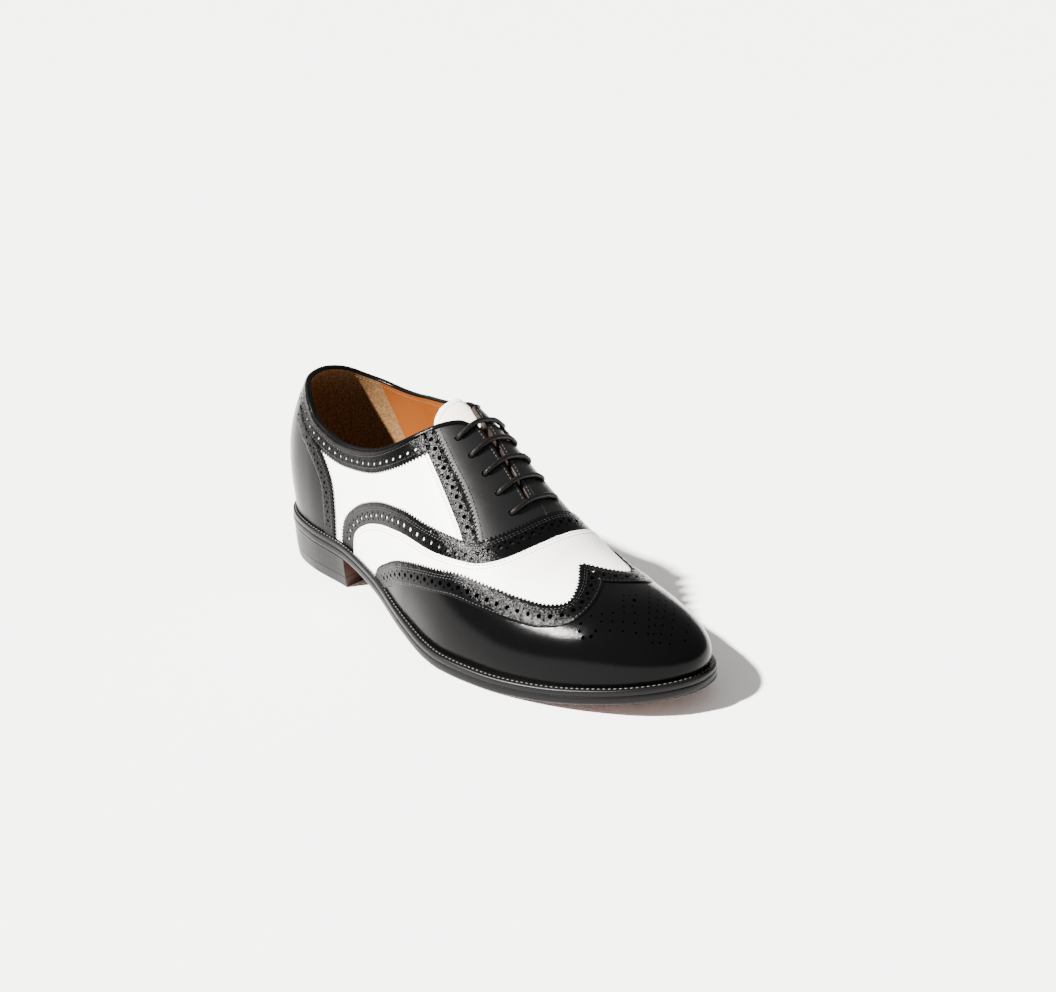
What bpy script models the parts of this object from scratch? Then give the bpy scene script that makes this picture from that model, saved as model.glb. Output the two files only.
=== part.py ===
"""Black and white wing-tip oxford for the right foot, built on the true shape of its last.

Metres, +Z up. The toe points along +X, the wearer's left (the inner side) is +Y.
The last is a set of columns that stand on the feather line, where upper meets sole, and meet
at the ridge over the foot. Between the heel centre and the toe centre they stand across the
shoe, and behind and before those two centres they fan out round them.
"""

import math

import bmesh
import bpy
import numpy as np
from mathutils import Vector
from mathutils.geometry import delaunay_2d_cdt

for _item in list(bpy.data.objects):
    bpy.data.objects.remove(_item)

MM = 0.001

# Sole: lengths, widths and heights
SHOE_LENGTH = 307 * MM
BALL_WIDTH = 112 * MM
WAIST_WIDTH = 76 * MM
HEEL_WIDTH = 71 * MM
TOE_WIDTH = 74 * MM
HEEL_LENGTH = 76 * MM
HEEL_HEIGHT = 19 * MM
TOE_SPRING = 11 * MM
OUTSOLE_THICKNESS = 4.6 * MM
WELT_THICKNESS = 3.2 * MM
WELT_REACH = 5 * MM
TOP_PIECE_THICKNESS = 6 * MM
HEEL_TAPER = 1.6 * MM

# Margin of sole that shows round the upper
HEEL_MARGIN = 3.0 * MM
WAIST_MARGIN = 3.5 * MM
BALL_MARGIN = 6.0 * MM
TOE_MARGIN = 5.0 * MM

# Upper: heights above the floor, wall and openings
INSTEP_HEIGHT = 116 * MM
TOE_HEIGHT = 46 * MM
WALL = 2.2 * MM
TONGUE_WIDTH = 52 * MM
TONGUE_RISE = 7 * MM
TONGUE_THICKNESS = 2.0 * MM
THROAT_LENGTH = 0.443 * SHOE_LENGTH
GAP_END = 0.6254 * SHOE_LENGTH
GAP_WIDTH = 6 * MM
HEEL_CENTRE = 0.14 * SHOE_LENGTH
TOE_CENTRE = 0.86 * SHOE_LENGTH
INSTEP_SWING = 2 * MM

CLEARANCE = 0.3 * MM
EDGE_ROUNDING = 1.2 * MM
WELT_STEP = 0.5 * MM
HEEL_STEP = 0.4 * MM
BREAST_HOLLOW = 3.5 * MM
INSOLE_THICKNESS = 2.5 * MM
LACE_THICKNESS = 3.0 * MM
EYELET_FIRST = 0.487 * SHOE_LENGTH
EYELET_LAST = 0.6287 * SHOE_LENGTH
EYELET_OUTER = 17.0 * MM
EYELET_INNER = 14.0 * MM
LACE_ROWS = 5

LEATHER_BLACK = (0.012, 0.012, 0.014)
LEATHER_WHITE = (0.85, 0.84, 0.80)
SOLE_BLACK = (0.02, 0.02, 0.02)
SOLE_STEPS = 32
HEEL_ROWS = 8
HEEL_COLUMNS = 6


def columns(names, rows):
    """A table as a dict of its named columns."""
    return dict(zip(names.split(), (np.array(c, float) for c in zip(*rows))))


# Outline of the outsole. along: share of the length; width: the named width there;
# outer and inner: shares of that width on the two sides of the middle line.
OUTLINE = columns(
    "along width outer inner",
    [
        (0.022, HEEL_WIDTH, 0.275, 0.240),
        (0.068, HEEL_WIDTH, 0.425, 0.405),
        (0.138, HEEL_WIDTH, 0.505, 0.500),
        (0.247, WAIST_WIDTH, 0.495, 0.440),
        (0.365, WAIST_WIDTH, 0.575, 0.355),
        (0.483, WAIST_WIDTH, 0.715, 0.430),
        (0.602, BALL_WIDTH, 0.550, 0.390),
        (0.700, BALL_WIDTH, 0.530, 0.455),
        (0.789, BALL_WIDTH, 0.465, 0.445),
        (0.878, TOE_WIDTH, 0.540, 0.555),
        (0.948, TOE_WIDTH, 0.335, 0.440),
        (0.987, TOE_WIDTH, 0.120, 0.290),
    ],
)
BACK_POINT = (0.0, 0.0)
TOE_POINT = (1.0, 0.0625)  # shares of the length and of BALL_WIDTH

# Height of the outsole's underside. heel and spring: shares of HEEL_HEIGHT and TOE_SPRING.
UNDERSIDE = columns(
    "along heel spring",
    [
        (0.00, 1.06, 0.0),
        (0.12, 1.00, 0.0),
        (0.24, 0.92, 0.0),
        (0.34, 0.70, 0.0),
        (0.46, 0.32, 0.0),
        (0.57, 0.03, 0.0),
        (0.61, 0.00, 0.0),
        (0.71, 0.00, 0.0),
        (0.80, 0.00, 0.13),
        (0.90, 0.00, 0.50),
        (1.00, 0.00, 1.0),
    ],
)

# Ridge over the foot. height: share of INSTEP_HEIGHT behind, of TOE_HEIGHT in front.
RIDGE = columns(
    "along instep toe",
    [
        (0.00, 1.11, 0.0),
        (0.25, 1.11, 0.0),
        (0.36, 1.07, 0.0),
        (0.44, 1.00, 0.0),
        (0.52, 0.88, 0.0),
        (0.60, 0.735, 0.0),
        (0.67, 0.600, 0.0),
        (0.74, 0.495, 0.0),
        (0.80, 0.0, 1.12),
        (0.88, 0.0, 1.03),
        (1.00, 0.0, 0.84),
    ],
)

# Shape of the columns. swell: how far the wall stands out over the feather line, as a share
# of the half width; side and top: powers of the curve, higher is boxier.
SECTIONS = columns(
    "along swell side top",
    [
        (0.00, 0.24, 2.2, 2.2),
        (0.13, 0.18, 2.25, 2.25),
        (0.30, 0.08, 2.3, 2.3),
        (0.44, 0.06, 2.0, 2.1),
        (0.58, 0.06, 1.9, 1.9),
        (0.72, 0.08, 2.1, 1.9),
        (0.86, 0.08, 2.4, 2.2),
        (1.00, 0.08, 2.7, 2.4),
    ],
)


def smooth(x, xs, ys):
    """A smooth curve through the rows (xs, ys), which never swings past them."""
    xs, ys = np.asarray(xs, float), np.asarray(ys, float)
    steps = np.diff(xs)
    slopes = np.diff(ys) / steps
    tangents = np.r_[slopes[0], np.zeros(len(xs) - 2), slopes[-1]]
    for i in range(1, len(xs) - 1):
        before, after = slopes[i - 1], slopes[i]
        if before * after > 0:
            a, b = 2 * steps[i] + steps[i - 1], steps[i] + 2 * steps[i - 1]
            tangents[i] = (a + b) / (a / before + b / after)
    i = np.clip(np.searchsorted(xs, x) - 1, 0, len(xs) - 2)
    t = np.clip((x - xs[i]) / steps[i], 0, 1)
    return (
        (1 + 2 * t) * (1 - t) ** 2 * ys[i]
        + t * (1 - t) ** 2 * steps[i] * tangents[i]
        + t * t * (3 - 2 * t) * ys[i + 1]
        + t * t * (t - 1) * steps[i] * tangents[i + 1]
    )


def curve(points, count, closed=False):
    """A centripetal Catmull-Rom curve through the points, as evenly spaced points."""
    points = np.asarray(points, float)
    if closed:
        points = np.vstack([points[-1:], points, points[:2]])
    else:
        points = np.vstack([2 * points[0] - points[1], points, 2 * points[-1] - points[-2]])
    dense = []
    for i in range(len(points) - 3):
        p = points[i : i + 4]
        t = [0.0]
        for k in range(3):
            t.append(t[-1] + math.sqrt(np.linalg.norm(p[k + 1] - p[k])))
        s = np.linspace(t[1], t[2], 24, endpoint=False)[:, None]
        a = [((t[k + 1] - s) * p[k] + (s - t[k]) * p[k + 1]) / (t[k + 1] - t[k]) for k in range(3)]
        b = [((t[k + 2] - s) * a[k] + (s - t[k]) * a[k + 1]) / (t[k + 2] - t[k]) for k in range(2)]
        dense.append(((t[2] - s) * b[0] + (s - t[1]) * b[1]) / (t[2] - t[1]))
    dense = np.vstack(dense + [points[-2:-1]])
    along = np.r_[0, np.cumsum(np.linalg.norm(np.diff(dense, axis=0), axis=1))]
    even = np.linspace(0, along[-1], count, endpoint=not closed)
    return np.c_[np.interp(even, along, dense[:, 0]), np.interp(even, along, dense[:, 1])]


def sole_outline(count=480):
    """The outsole seen from above, from the back point round the outer side."""
    x = OUTLINE["along"] * SHOE_LENGTH
    outer = np.c_[x, -OUTLINE["outer"] * OUTLINE["width"]]
    inner = np.c_[x, OUTLINE["inner"] * OUTLINE["width"]]
    back = np.array([BACK_POINT]) * SHOE_LENGTH
    toe = np.array([TOE_POINT]) * (SHOE_LENGTH, BALL_WIDTH)
    return curve(np.vstack([back, outer, toe, inner[::-1]]), count, closed=True)


def inset(loop, margin):
    """The loop drawn in by margin, which is one number or one for each point."""
    run = np.roll(loop, -1, axis=0) - np.roll(loop, 1, axis=0)
    run /= np.linalg.norm(run, axis=1)[:, None]
    x, y = loop.T
    turn = np.sign((x * np.roll(y, -1) - y * np.roll(x, -1)).sum())
    inward = turn * np.c_[-run[:, 1], run[:, 0]]
    return loop + inward * np.broadcast_to(margin, len(loop))[:, None]


def underside(x):
    """Height of the outsole's underside over the floor."""
    s = x / SHOE_LENGTH
    heel = smooth(s, UNDERSIDE["along"], UNDERSIDE["heel"]) * HEEL_HEIGHT
    return heel + smooth(s, UNDERSIDE["along"], UNDERSIDE["spring"]) * TOE_SPRING


def seat(x):
    """Height of the welt's top, on which the upper stands."""
    return underside(x) + OUTSOLE_THICKNESS + WELT_THICKNESS + 2 * CLEARANCE


def ridge(x):
    """Height of the ridge over the foot."""
    heights = RIDGE["instep"] * INSTEP_HEIGHT + RIDGE["toe"] * TOE_HEIGHT
    return smooth(x / SHOE_LENGTH, RIDGE["along"], heights)


def middle(x):
    """How far the ridge swings to the inner side."""
    return INSTEP_SWING * smooth(x / SHOE_LENGTH, [0.0, 0.2, 0.5, 0.75, 1.0], [0, 0, 1, 0, 0])


def margin(x):
    """Width of sole that shows round the upper."""
    shares = [0.0, 0.2, 0.4, 0.68, 0.9, 1.0]
    sizes = [HEEL_MARGIN, HEEL_MARGIN, WAIST_MARGIN, BALL_MARGIN, TOE_MARGIN, TOE_MARGIN]
    return smooth(x / SHOE_LENGTH, shares, sizes)


# The stations run round the last: back quarter, outer side, toe half, inner side, back quarter.
QUARTER = 60 * MM
SIDE = TOE_CENTRE - HEEL_CENTRE
ROUND = 4 * QUARTER + 2 * SIDE
STATION_COUNT = 480
TURN_COUNT = 64
HEEL_STEPS, SIDE_STEPS, TOE_STEPS, RISE_STEPS = 6, 14, 6, 8
PATCH_SPACING = 12 * MM

# How far the cutting forms reach past what they cut
CUT_DEPTH = 3 * MM
CUT_RISE = 6 * MM
MOUTH_CUT = 9 * MM
FORM_DROP = 15 * MM


def column_foot(u):
    """Where the column of station u stands on the ridge (x, y), and which way it leans."""
    u = np.mod(u, ROUND)
    mirrored = u > ROUND / 2
    v = np.where(mirrored, ROUND - u, u)
    heel = np.clip(v / QUARTER, 0, 1) * math.pi / 2
    toe = np.clip((v - QUARTER - SIDE) / QUARTER, 0, 1) * math.pi / 2
    x = HEEL_CENTRE + np.clip(v - QUARTER, 0, SIDE)
    dx = np.where(v < QUARTER, -np.cos(heel), np.sin(toe))
    dy = -np.where(v < QUARTER, np.sin(heel), np.cos(toe))
    return x, middle(x), dx, np.where(mirrored, -dy, dy)


def feather_line():
    """The line where the upper meets the welt, seen from above."""
    outline = sole_outline()
    return inset(outline, margin(outline[:, 0]))


def reach_of(u, loop):
    """How far it is from the ridge to the loop along each column."""
    x, y, dx, dy = column_foot(u)
    a = loop
    b = np.roll(loop, -1, axis=0)
    ex, ey = (b - a).T
    cross = dx[:, None] * ey - dy[:, None] * ex
    cross = np.where(abs(cross) < 1e-15, 1e-15, cross)
    rx, ry = a[:, 0] - x[:, None], a[:, 1] - y[:, None]
    along = (rx * ey - ry * ex) / cross
    share = (rx * dy[:, None] - ry * dx[:, None]) / cross
    hit = (share >= 0) & (share <= 1) & (along > 0)
    return np.where(hit, along, 0).max(axis=1)


STATIONS = np.linspace(0, ROUND, STATION_COUNT + 1)
REACH = reach_of(STATIONS, feather_line())


def surface(u, phi):
    """The last's surface at station u and angle phi: 0 at the feather line, 90 degrees on top."""
    x, y, dx, dy = column_foot(u)
    reach = np.interp(np.mod(u, ROUND), STATIONS, REACH)
    s = (x + dx * reach) / SHOE_LENGTH
    swell = smooth(s, SECTIONS["along"], SECTIONS["swell"])
    side = smooth(s, SECTIONS["along"], SECTIONS["side"])
    top = smooth(s, SECTIONS["along"], SECTIONS["top"])
    out = np.cos(phi) ** (2 / side)
    out = out * (1 + swell * np.sin(2 * phi) * np.cos(phi) ** 3) * reach
    px, py = x + dx * out, y + dy * out
    low = seat(px)
    return px, py, low + (ridge(px) - low) * np.sin(phi) ** (2 / top)


def arc_tables():
    """For every station: the column's length, and the angle at even shares of that length."""
    phi = np.linspace(math.pi / 2, 0, TURN_COUNT + 1)
    lengths, angles = [], []
    for u in STATIONS:
        points = np.stack(surface(np.full(len(phi), u), phi), axis=1)
        run = np.r_[0, np.cumsum(np.linalg.norm(np.diff(points, axis=0), axis=1))]
        lengths.append(run[-1])
        angles.append(np.interp(np.linspace(0, run[-1], TURN_COUNT + 1), run, phi))
    return np.array(lengths), np.array(angles)


LENGTHS, ANGLES = arc_tables()


def on_last(p, q):
    """The last's surface at p along the ridge and q round the leather, minus on the outer side.

    Round the heel and toe centres, p and q are a flat fan of the columns there. Past the
    feather line the leather goes on straight down.
    """
    side = abs(q)
    back = np.arctan2(side, HEEL_CENTRE - p) / (math.pi / 2)
    front = np.arctan2(p - TOE_CENTRE, side) / (math.pi / 2)
    v = np.where(p < HEEL_CENTRE, QUARTER * back, QUARTER + p - HEEL_CENTRE)
    v = np.where(p > TOE_CENTRE, QUARTER * (1 + front) + SIDE, v)
    run = np.hypot(side, np.minimum(p - HEEL_CENTRE, 0) + np.maximum(p - TOE_CENTRE, 0))
    u = np.where(q > 0, ROUND - v, v)
    place = u / ROUND * STATION_COUNT
    i = np.clip(place.astype(int), 0, STATION_COUNT - 1)
    f = place - i
    length = LENGTHS[i] * (1 - f) + LENGTHS[i + 1] * f
    share = np.clip(run / length, 0, 1) * TURN_COUNT
    j = np.clip(share.astype(int), 0, TURN_COUNT - 1)
    g = share - j
    phi = (1 - f) * ((1 - g) * ANGLES[i, j] + g * ANGLES[i, j + 1])
    phi += f * ((1 - g) * ANGLES[i + 1, j] + g * ANGLES[i + 1, j + 1])
    x, y, z = surface(u, np.clip(phi, 0, math.pi / 2))
    return np.stack([x, y, z - np.maximum(run - length, 0)], axis=-1)


def lift(plan, height):
    """Points at a height over the last, from rows of (p, q)."""
    p, q = np.asarray(plan, float).T
    step = 0.5 * MM
    along = on_last(p + step, q) - on_last(p - step, q)
    across = on_last(p, q + step) - on_last(p, q - step)
    normal = np.cross(along, across)
    normal /= np.linalg.norm(normal, axis=1)[:, None]
    return on_last(p, q) + normal * height


# Edges of the leather pieces. along: share of SHOE_LENGTH; round, outer and inner: the way
# round the leather from the ridge, as shares of GIRTH.
GIRTH = 120 * MM
COLLAR = columns(
    "along outer inner",
    [
        (0.024, 0.118, 0.116),
        (0.043, 0.223, 0.247),
        (0.074, 0.291, 0.318),
        (0.113, 0.382, 0.364),
        (0.160, 0.440, 0.382),
        (0.200, 0.476, 0.370),
        (0.241, 0.493, 0.347),
        (0.287, 0.483, 0.304),
        (0.330, 0.450, 0.246),
        (0.377, 0.374, 0.190),
        (0.408, 0.298, 0.152),
        (0.432, 0.222, 0.120),
        (0.447, 0.165, 0.100),
        (0.461, 0.112, 0.066),
        (0.470, 0.080, 0.020),
        (0.484, 0.052, -0.020),
    ],
)
COLLAR_BACK = 0.010
# Half of the tongue, from its top to its foot under the vamp. along: share of its length;
# round: share of half its width.
TONGUE = columns(
    "along round",
    [
        (0.000, 0.00),
        (0.006, 0.50),
        (0.055, 0.86),
        (0.210, 1.00),
        (0.600, 0.80),
        (1.000, 0.60),
    ],
)
TONGUE_TUCK = 12 * MM
COLLAR_BAND_WIDTH = 10.5 * MM
SWOOP_TOP = columns(
    "along round",
    [
        (0.238, 1.100),
        (0.241, 0.940),
        (0.253, 0.855),
        (0.293, 0.760),
        (0.355, 0.671),
        (0.435, 0.592),
        (0.512, 0.520),
        (0.568, 0.450),
        (0.607, 0.384),
        (0.640, 0.255),
        (0.656, 0.125),
        (0.660, 0.000),
    ],
)
SWOOP_FOOT = columns(
    "along round",
    [
        (0.283, 1.150),
        (0.284, 0.904),
        (0.324, 0.807),
        (0.380, 0.736),
        (0.457, 0.659),
        (0.540, 0.567),
        (0.608, 0.459),
        (0.639, 0.393),
        (0.673, 0.267),
        (0.691, 0.119),
        (0.695, 0.000),
    ],
)
WING = columns(
    "along round",
    [
        (0.352, 1.150),
        (0.370, 0.986),
        (0.420, 0.870),
        (0.503, 0.712),
        (0.568, 0.588),
        (0.623, 0.479),
        (0.688, 0.376),
        (0.737, 0.304),
        (0.778, 0.248),
        (0.802, 0.182),
        (0.793, 0.101),
        (0.757, 0.000),
    ],
)
WING_LEAN = 4 * MM
COUNTER = columns(
    "along round",
    [
        (0.061, 0.366),
        (0.125, 0.470),
        (0.173, 0.557),
        (0.210, 0.692),
        (0.216, 0.820),
        (0.213, 0.961),
        (0.208, 1.150),
    ],
)
FACING = columns(
    "along round",
    [
        (0.413, 0.200),
        (0.454, 0.286),
        (0.500, 0.327),
        (0.540, 0.359),
        (0.577, 0.387),
        (0.606, 0.420),
    ],
)
GAP_TOP = 0.8 * MM
GAP_FOOT = -4.8 * MM
OVERLAY = 1.2 * MM
HEM_SPARE = 6 * MM
GAP_SPARE = 12 * MM


def edge(table, side, column="round", count=17):
    """A leather edge as rows of (p, q); side is -1 on the outer side and 1 on the inner."""
    points = np.c_[table["along"] * SHOE_LENGTH, side * table[column] * GIRTH]
    return curve(points, count)


def collar_loop(width=0.0, count=44):
    """The rim of the shoe's mouth, or a line that runs below it by width."""
    back = [[COLLAR_BACK * SHOE_LENGTH, 0]]
    outer = np.c_[COLLAR["along"] * SHOE_LENGTH, -COLLAR["outer"] * GIRTH]
    inner = np.c_[COLLAR["along"] * SHOE_LENGTH, COLLAR["inner"] * GIRTH]
    loop = curve(np.vstack([back, outer, inner[::-1]]), count, closed=True)
    return inset(loop, -width)


def hem(start, end, spare, count=40):
    """Rows of (p, q) that run below the feather line from station start to station end."""
    u = np.linspace(start, end, count)
    x, _, dx, dy = column_foot(u)
    run = np.interp(np.mod(u, ROUND), STATIONS, LENGTHS) + spare
    return np.c_[x + dx * run, dy * run]


def wing_region(spare=HEM_SPARE):
    """The wing-tip toe cap in the unrolled plan."""
    outer, inner = edge(WING, -1), edge(WING, 1)
    for side in (outer, inner):
        fade = smooth(side[:, 0] / SHOE_LENGTH, [0.5, 0.75], [0, 1])
        side[:, 1] -= WING_LEAN * fade
    start = QUARTER + outer[0, 0] - HEEL_CENTRE
    front = hem(start, ROUND - start, spare)
    return np.vstack([outer[::-1], front[1:-1], inner[:-1]])


def swoop_region():
    """The band that sweeps up from the waist on both sides and crosses below the lacing."""
    top, foot = edge(SWOOP_TOP, -1), edge(SWOOP_FOOT, -1)
    mirror = np.array([1, -1])
    upper = np.vstack([top, top[-2::-1] * mirror])
    lower = np.vstack([foot, foot[-2::-1] * mirror])
    return np.vstack([upper, lower[::-1]])


def facing_region(side):
    """The eyelet facing of one side, from its rear edge to past the ridge."""
    rear, foot = edge(FACING, side), edge(SWOOP_TOP, side)
    foot = foot[foot[:, 0] > rear[-1, 0]]
    return np.vstack([rear, foot, [[THROAT_LENGTH, 0]]])


def front_region():
    """All that lies in front of the rear edges of the two facings, as far as the vamp."""
    outer, inner = edge(FACING, -1), edge(FACING, 1)
    return np.vstack([outer, inner[::-1]])


def counter_region():
    """The heel counter."""
    outer = edge(COUNTER, -1)
    start = QUARTER + outer[-1, 0] - HEEL_CENTRE
    back = hem(start, -start, HEM_SPARE)
    top = curve([outer[0], [-0.02 * SHOE_LENGTH, 0], outer[0] * (1, -1)], 12)
    return np.vstack([outer, back[1:-1], outer[::-1] * (1, -1), top[-2:0:-1]])


def gap_region(spare=GAP_SPARE):
    """The slit between the two facings."""
    half = GAP_WIDTH / 2
    top = THROAT_LENGTH - spare
    rows = [(top, GAP_TOP - half), (GAP_END, GAP_FOOT - half / 3)]
    return np.array(rows + [(GAP_END, GAP_FOOT + half / 3), (top, GAP_TOP + half)])


def tongue_region():
    """The tongue, which widens from its foot under the vamp to its rounded top."""
    half, top = TONGUE_WIDTH / 2, THROAT_LENGTH - TONGUE_RISE
    foot = GAP_END + TONGUE_TUCK
    length = foot - top
    along = top + TONGUE["along"] * length
    half_loop = np.c_[along, TONGUE["round"] * half]
    return curve(np.vstack([half_loop, half_loop[:0:-1] * (1, -1)]), 48, closed=True)


def paint(name, colour, roughness):
    """A plain material; nothing on this shoe is metal."""
    material = bpy.data.materials.new(name)
    material.use_nodes = True
    shader = material.node_tree.nodes["Principled BSDF"]
    shader.inputs["Base Color"].default_value = (*colour, 1.0)
    shader.inputs["Roughness"].default_value = roughness
    shader.inputs["Metallic"].default_value = 0.0
    return material


def solid(name, verts, faces, colour, roughness):
    """A named closed mesh object with its own material."""
    mesh = bpy.data.meshes.new(name)
    bm = bmesh.new()
    made = [bm.verts.new(v) for v in np.asarray(verts).tolist()]
    for face in faces:
        corners = [made[i] for i in face]
        bm.faces.new(corners)
    bmesh.ops.remove_doubles(bm, verts=bm.verts, dist=0.002 * MM)
    bmesh.ops.dissolve_degenerate(bm, edges=bm.edges, dist=0.002 * MM)
    bmesh.ops.recalc_face_normals(bm, faces=bm.faces)
    bm.to_mesh(mesh)
    bm.free()
    mesh.materials.append(paint(name, colour, roughness))
    mesh.shade_smooth()
    mesh.set_sharp_from_angle(angle=math.radians(35))
    item = bpy.data.objects.new(name, mesh)
    bpy.context.scene.collection.objects.link(item)
    return item


def guide(item):
    """Keep a cutting form out of the model."""
    item.hide_render = True
    item.display_type = "WIRE"
    return item


def combine(item, other, operation):
    """Boolean the other form into the item."""
    tool = item.modifiers.new(operation.lower(), "BOOLEAN")
    tool.operation = operation
    tool.solver = "EXACT"
    tool.object = other


def grid_stations():
    """The stations of the last's mesh, the same for every skin."""
    quarter = np.linspace(0, QUARTER, HEEL_STEPS + 1)
    side = QUARTER + np.linspace(0, SIDE, SIDE_STEPS + 1)
    toe = QUARTER + SIDE + np.linspace(0, QUARTER, TOE_STEPS + 1)
    half = np.concatenate([quarter[:-1], side[:-1], toe])
    return np.concatenate([half, (ROUND - half[-2:0:-1])])


def form(name, offset, drop=0.0):
    """The whole last, blown up by offset: a closed solid that the leather pieces are cut from."""
    stations = grid_stations()
    count = len(stations)
    x, _, dx, dy = column_foot(stations)
    length = np.interp(stations, STATIONS, LENGTHS)
    levels = np.linspace(0, 1, RISE_STEPS + 1)
    rings = []
    for level in levels:
        plan = np.c_[x + dx * length * level, dy * length * level]
        plan[:, 1] += np.where(dy < 0, -1e-7, 1e-7)
        rings.append(lift(plan, offset))
    top = rings[0]
    for i in range(count):
        twin = (count - i) % count
        top[i] = top[twin] = (top[i] + top[twin]) / 2
    for first, last in ((0, HEEL_STEPS), (count - HEEL_STEPS, count)):
        top[first:last] = top[HEEL_STEPS]
    nose = slice(HEEL_STEPS + SIDE_STEPS, HEEL_STEPS + SIDE_STEPS + 2 * TOE_STEPS + 1)
    top[nose] = top[HEEL_STEPS + SIDE_STEPS]
    rings[-1][:, 2] = seat(rings[-1][:, 0])
    if drop:
        rings.append(rings[-1] - [0, 0, drop])
    verts = np.vstack(rings)
    faces = []
    for j in range(len(rings) - 1):
        for i in range(count):
            k = (i + 1) % count
            a, b, c, d = j * count + i, j * count + k, (j + 1) * count + k, (j + 1) * count + i
            diagonal = (a, b, c), (a, c, d)
            faces += diagonal if i < count // 2 else ((a, b, d), (b, c, d))
    base = (len(rings) - 1) * count
    for i in range(count // 2):
        left, right = base + (count - i) % count, base + (count - i - 1) % count
        faces += [(base + i, base + i + 1, right), (base + i, right, left)]
    faces = [f for f in faces if len(set(f)) == 3]
    return guide(solid(name, verts, faces, (0.5, 0.5, 0.5), 0.5))


def inside(points, loop):
    """Which points lie inside the loop."""
    ax, ay = loop.T
    bx, by = np.roll(loop, -1, axis=0).T
    x, y = points[:, :1], points[:, 1:]
    crosses = (ay > y) != (by > y)
    rise = np.where(by == ay, 1e-12, by - ay)
    return (crosses & (x < ax + (y - ay) / rise * (bx - ax))).sum(axis=1) % 2 == 1


def subdivided(loop):
    """The loop with its long sides cut into short ones."""
    points = []
    for a, b in zip(loop, np.roll(loop, -1, axis=0)):
        pieces = max(1, round(np.linalg.norm(b - a) / PATCH_SPACING))
        points += [a + (b - a) * i / pieces for i in range(pieces)]
    return np.array(points)


def patch(name, loop, low, high):
    """A thick panel over the loop, from low to high over the last, for cutting."""
    loop = subdivided(loop)
    count = len(loop)
    ticks = [np.arange(a, b, PATCH_SPACING) for a, b in zip(loop.min(0), loop.max(0))]
    mesh = np.stack(np.meshgrid(*ticks), axis=-1).reshape(-1, 2)
    keep = inside(mesh, loop)
    gap = np.linalg.norm(mesh[:, None] - loop[None], axis=2).min(axis=1)
    points = np.vstack([loop, mesh[keep & (gap > 0.4 * PATCH_SPACING)]])
    rim = [(i, (i + 1) % count) for i in range(count)]
    plan, _, faces, origin, _, _ = delaunay_2d_cdt([Vector(p) for p in points], rim, [], 1, 1e-7)
    plan = np.array([tuple(p) for p in plan])
    place = {first: i for i, sources in enumerate(origin) for first in sources}
    verts = np.vstack([lift(plan, low), lift(plan, high)])
    total = len(plan)
    sides = []
    for a, b in rim:
        a, b = place[a], place[b]
        sides += [(a, b, b + total), (a, b + total, a + total)]
    lower = [tuple(f) for f in faces]
    upper = [tuple(i + total for i in f) for f in faces]
    return guide(solid(name, verts, lower + upper + sides, (0.5, 0.5, 0.5), 0.5))


def piece_of(source, name, colour, roughness):
    """A visible copy of a guide form, as the start of a piece."""
    piece = source.copy()
    piece.data = source.data.copy()
    piece.name = piece.data.name = name
    piece.hide_render = False
    piece.display_type = "TEXTURED"
    piece.data.materials[0] = paint(name, colour, roughness)
    bpy.context.scene.collection.objects.link(piece)
    return piece


def overlay(name, region, skin, core, cuts=()):
    """A leather piece on the upper: the skin within the region, less the core and the cuts."""
    panel = patch(name + "_cutter", region, -CUT_DEPTH, CUT_RISE)
    piece = piece_of(skin, name, LEATHER_BLACK, 0.3)
    combine(piece, panel, "INTERSECT")
    for other in (core, *cuts):
        combine(piece, other, "DIFFERENCE")
    return piece


def rows(draw_in, count=SOLE_STEPS):
    """The sole's outline drawn in: x from back to toe, with y of the outer and inner side."""
    outline = sole_outline()
    loop = inset(outline, draw_in(outline[:, 0]))
    back, front = loop[:, 0].argmin(), loop[:, 0].argmax()
    outer = loop[back : front + 1] if back < front else np.vstack([loop[back:], loop[: front + 1]])
    inner = np.vstack([loop[front:], loop[: back + 1]]) if back < front else loop[front : back + 1]
    s = (1 - np.cos(np.linspace(0, math.pi, count + 1))) / 2
    x = loop[back, 0] + s * (loop[front, 0] - loop[back, 0])
    inner = inner[::-1]
    low = np.interp(x, outer[:, 0], outer[:, 1])
    high = np.interp(x, inner[:, 0], inner[:, 1])
    low[[0, -1]] = high[[0, -1]] = loop[[back, front], 1]
    return x, low, high


def ring(draw_in, height):
    """One closed ring of points round the sole at the given inset and height."""
    x, low, high = rows(draw_in)
    loop = np.vstack([np.c_[x, low], np.c_[x, high][-2:0:-1]])
    return np.c_[loop, height(loop[:, 0])]


def wall_faces(count, first, second):
    """Faces between two rings of count points, given where each begins."""
    faces = []
    for i in range(count):
        k = (i + 1) % count
        faces.append((first + i, first + k, second + k, second + i))
    return faces


def cap_faces(count, start):
    """Faces that close a ring from the outer side across to the inner."""
    faces = [(start, start + 1, start + count - 1)]
    for i in range(1, count // 2 - 1):
        faces.append((start + i, start + i + 1, start + count - i - 1, start + count - i))
    last = count // 2
    faces.append((start + last - 1, start + last, start + last + 1))
    return faces


def plate(name, levels, colour, roughness, open_middle=False):
    """A solid from rings: closed above and below, or with the last ring joined to the first."""
    rings = [ring(draw_in, height) for draw_in, height in levels]
    count = len(rings[0])
    faces = []
    for i in range(len(rings) - 1):
        faces += wall_faces(count, i * count, (i + 1) * count)
    if open_middle:
        faces += wall_faces(count, (len(rings) - 1) * count, 0)
    else:
        faces += cap_faces(count, 0) + cap_faces(count, (len(rings) - 1) * count)
    return solid(name, np.vstack(rings), faces, colour, roughness)


def fixed(size):
    """An inset that is the same all round."""
    return lambda x: np.full(np.shape(x), size)


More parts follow.
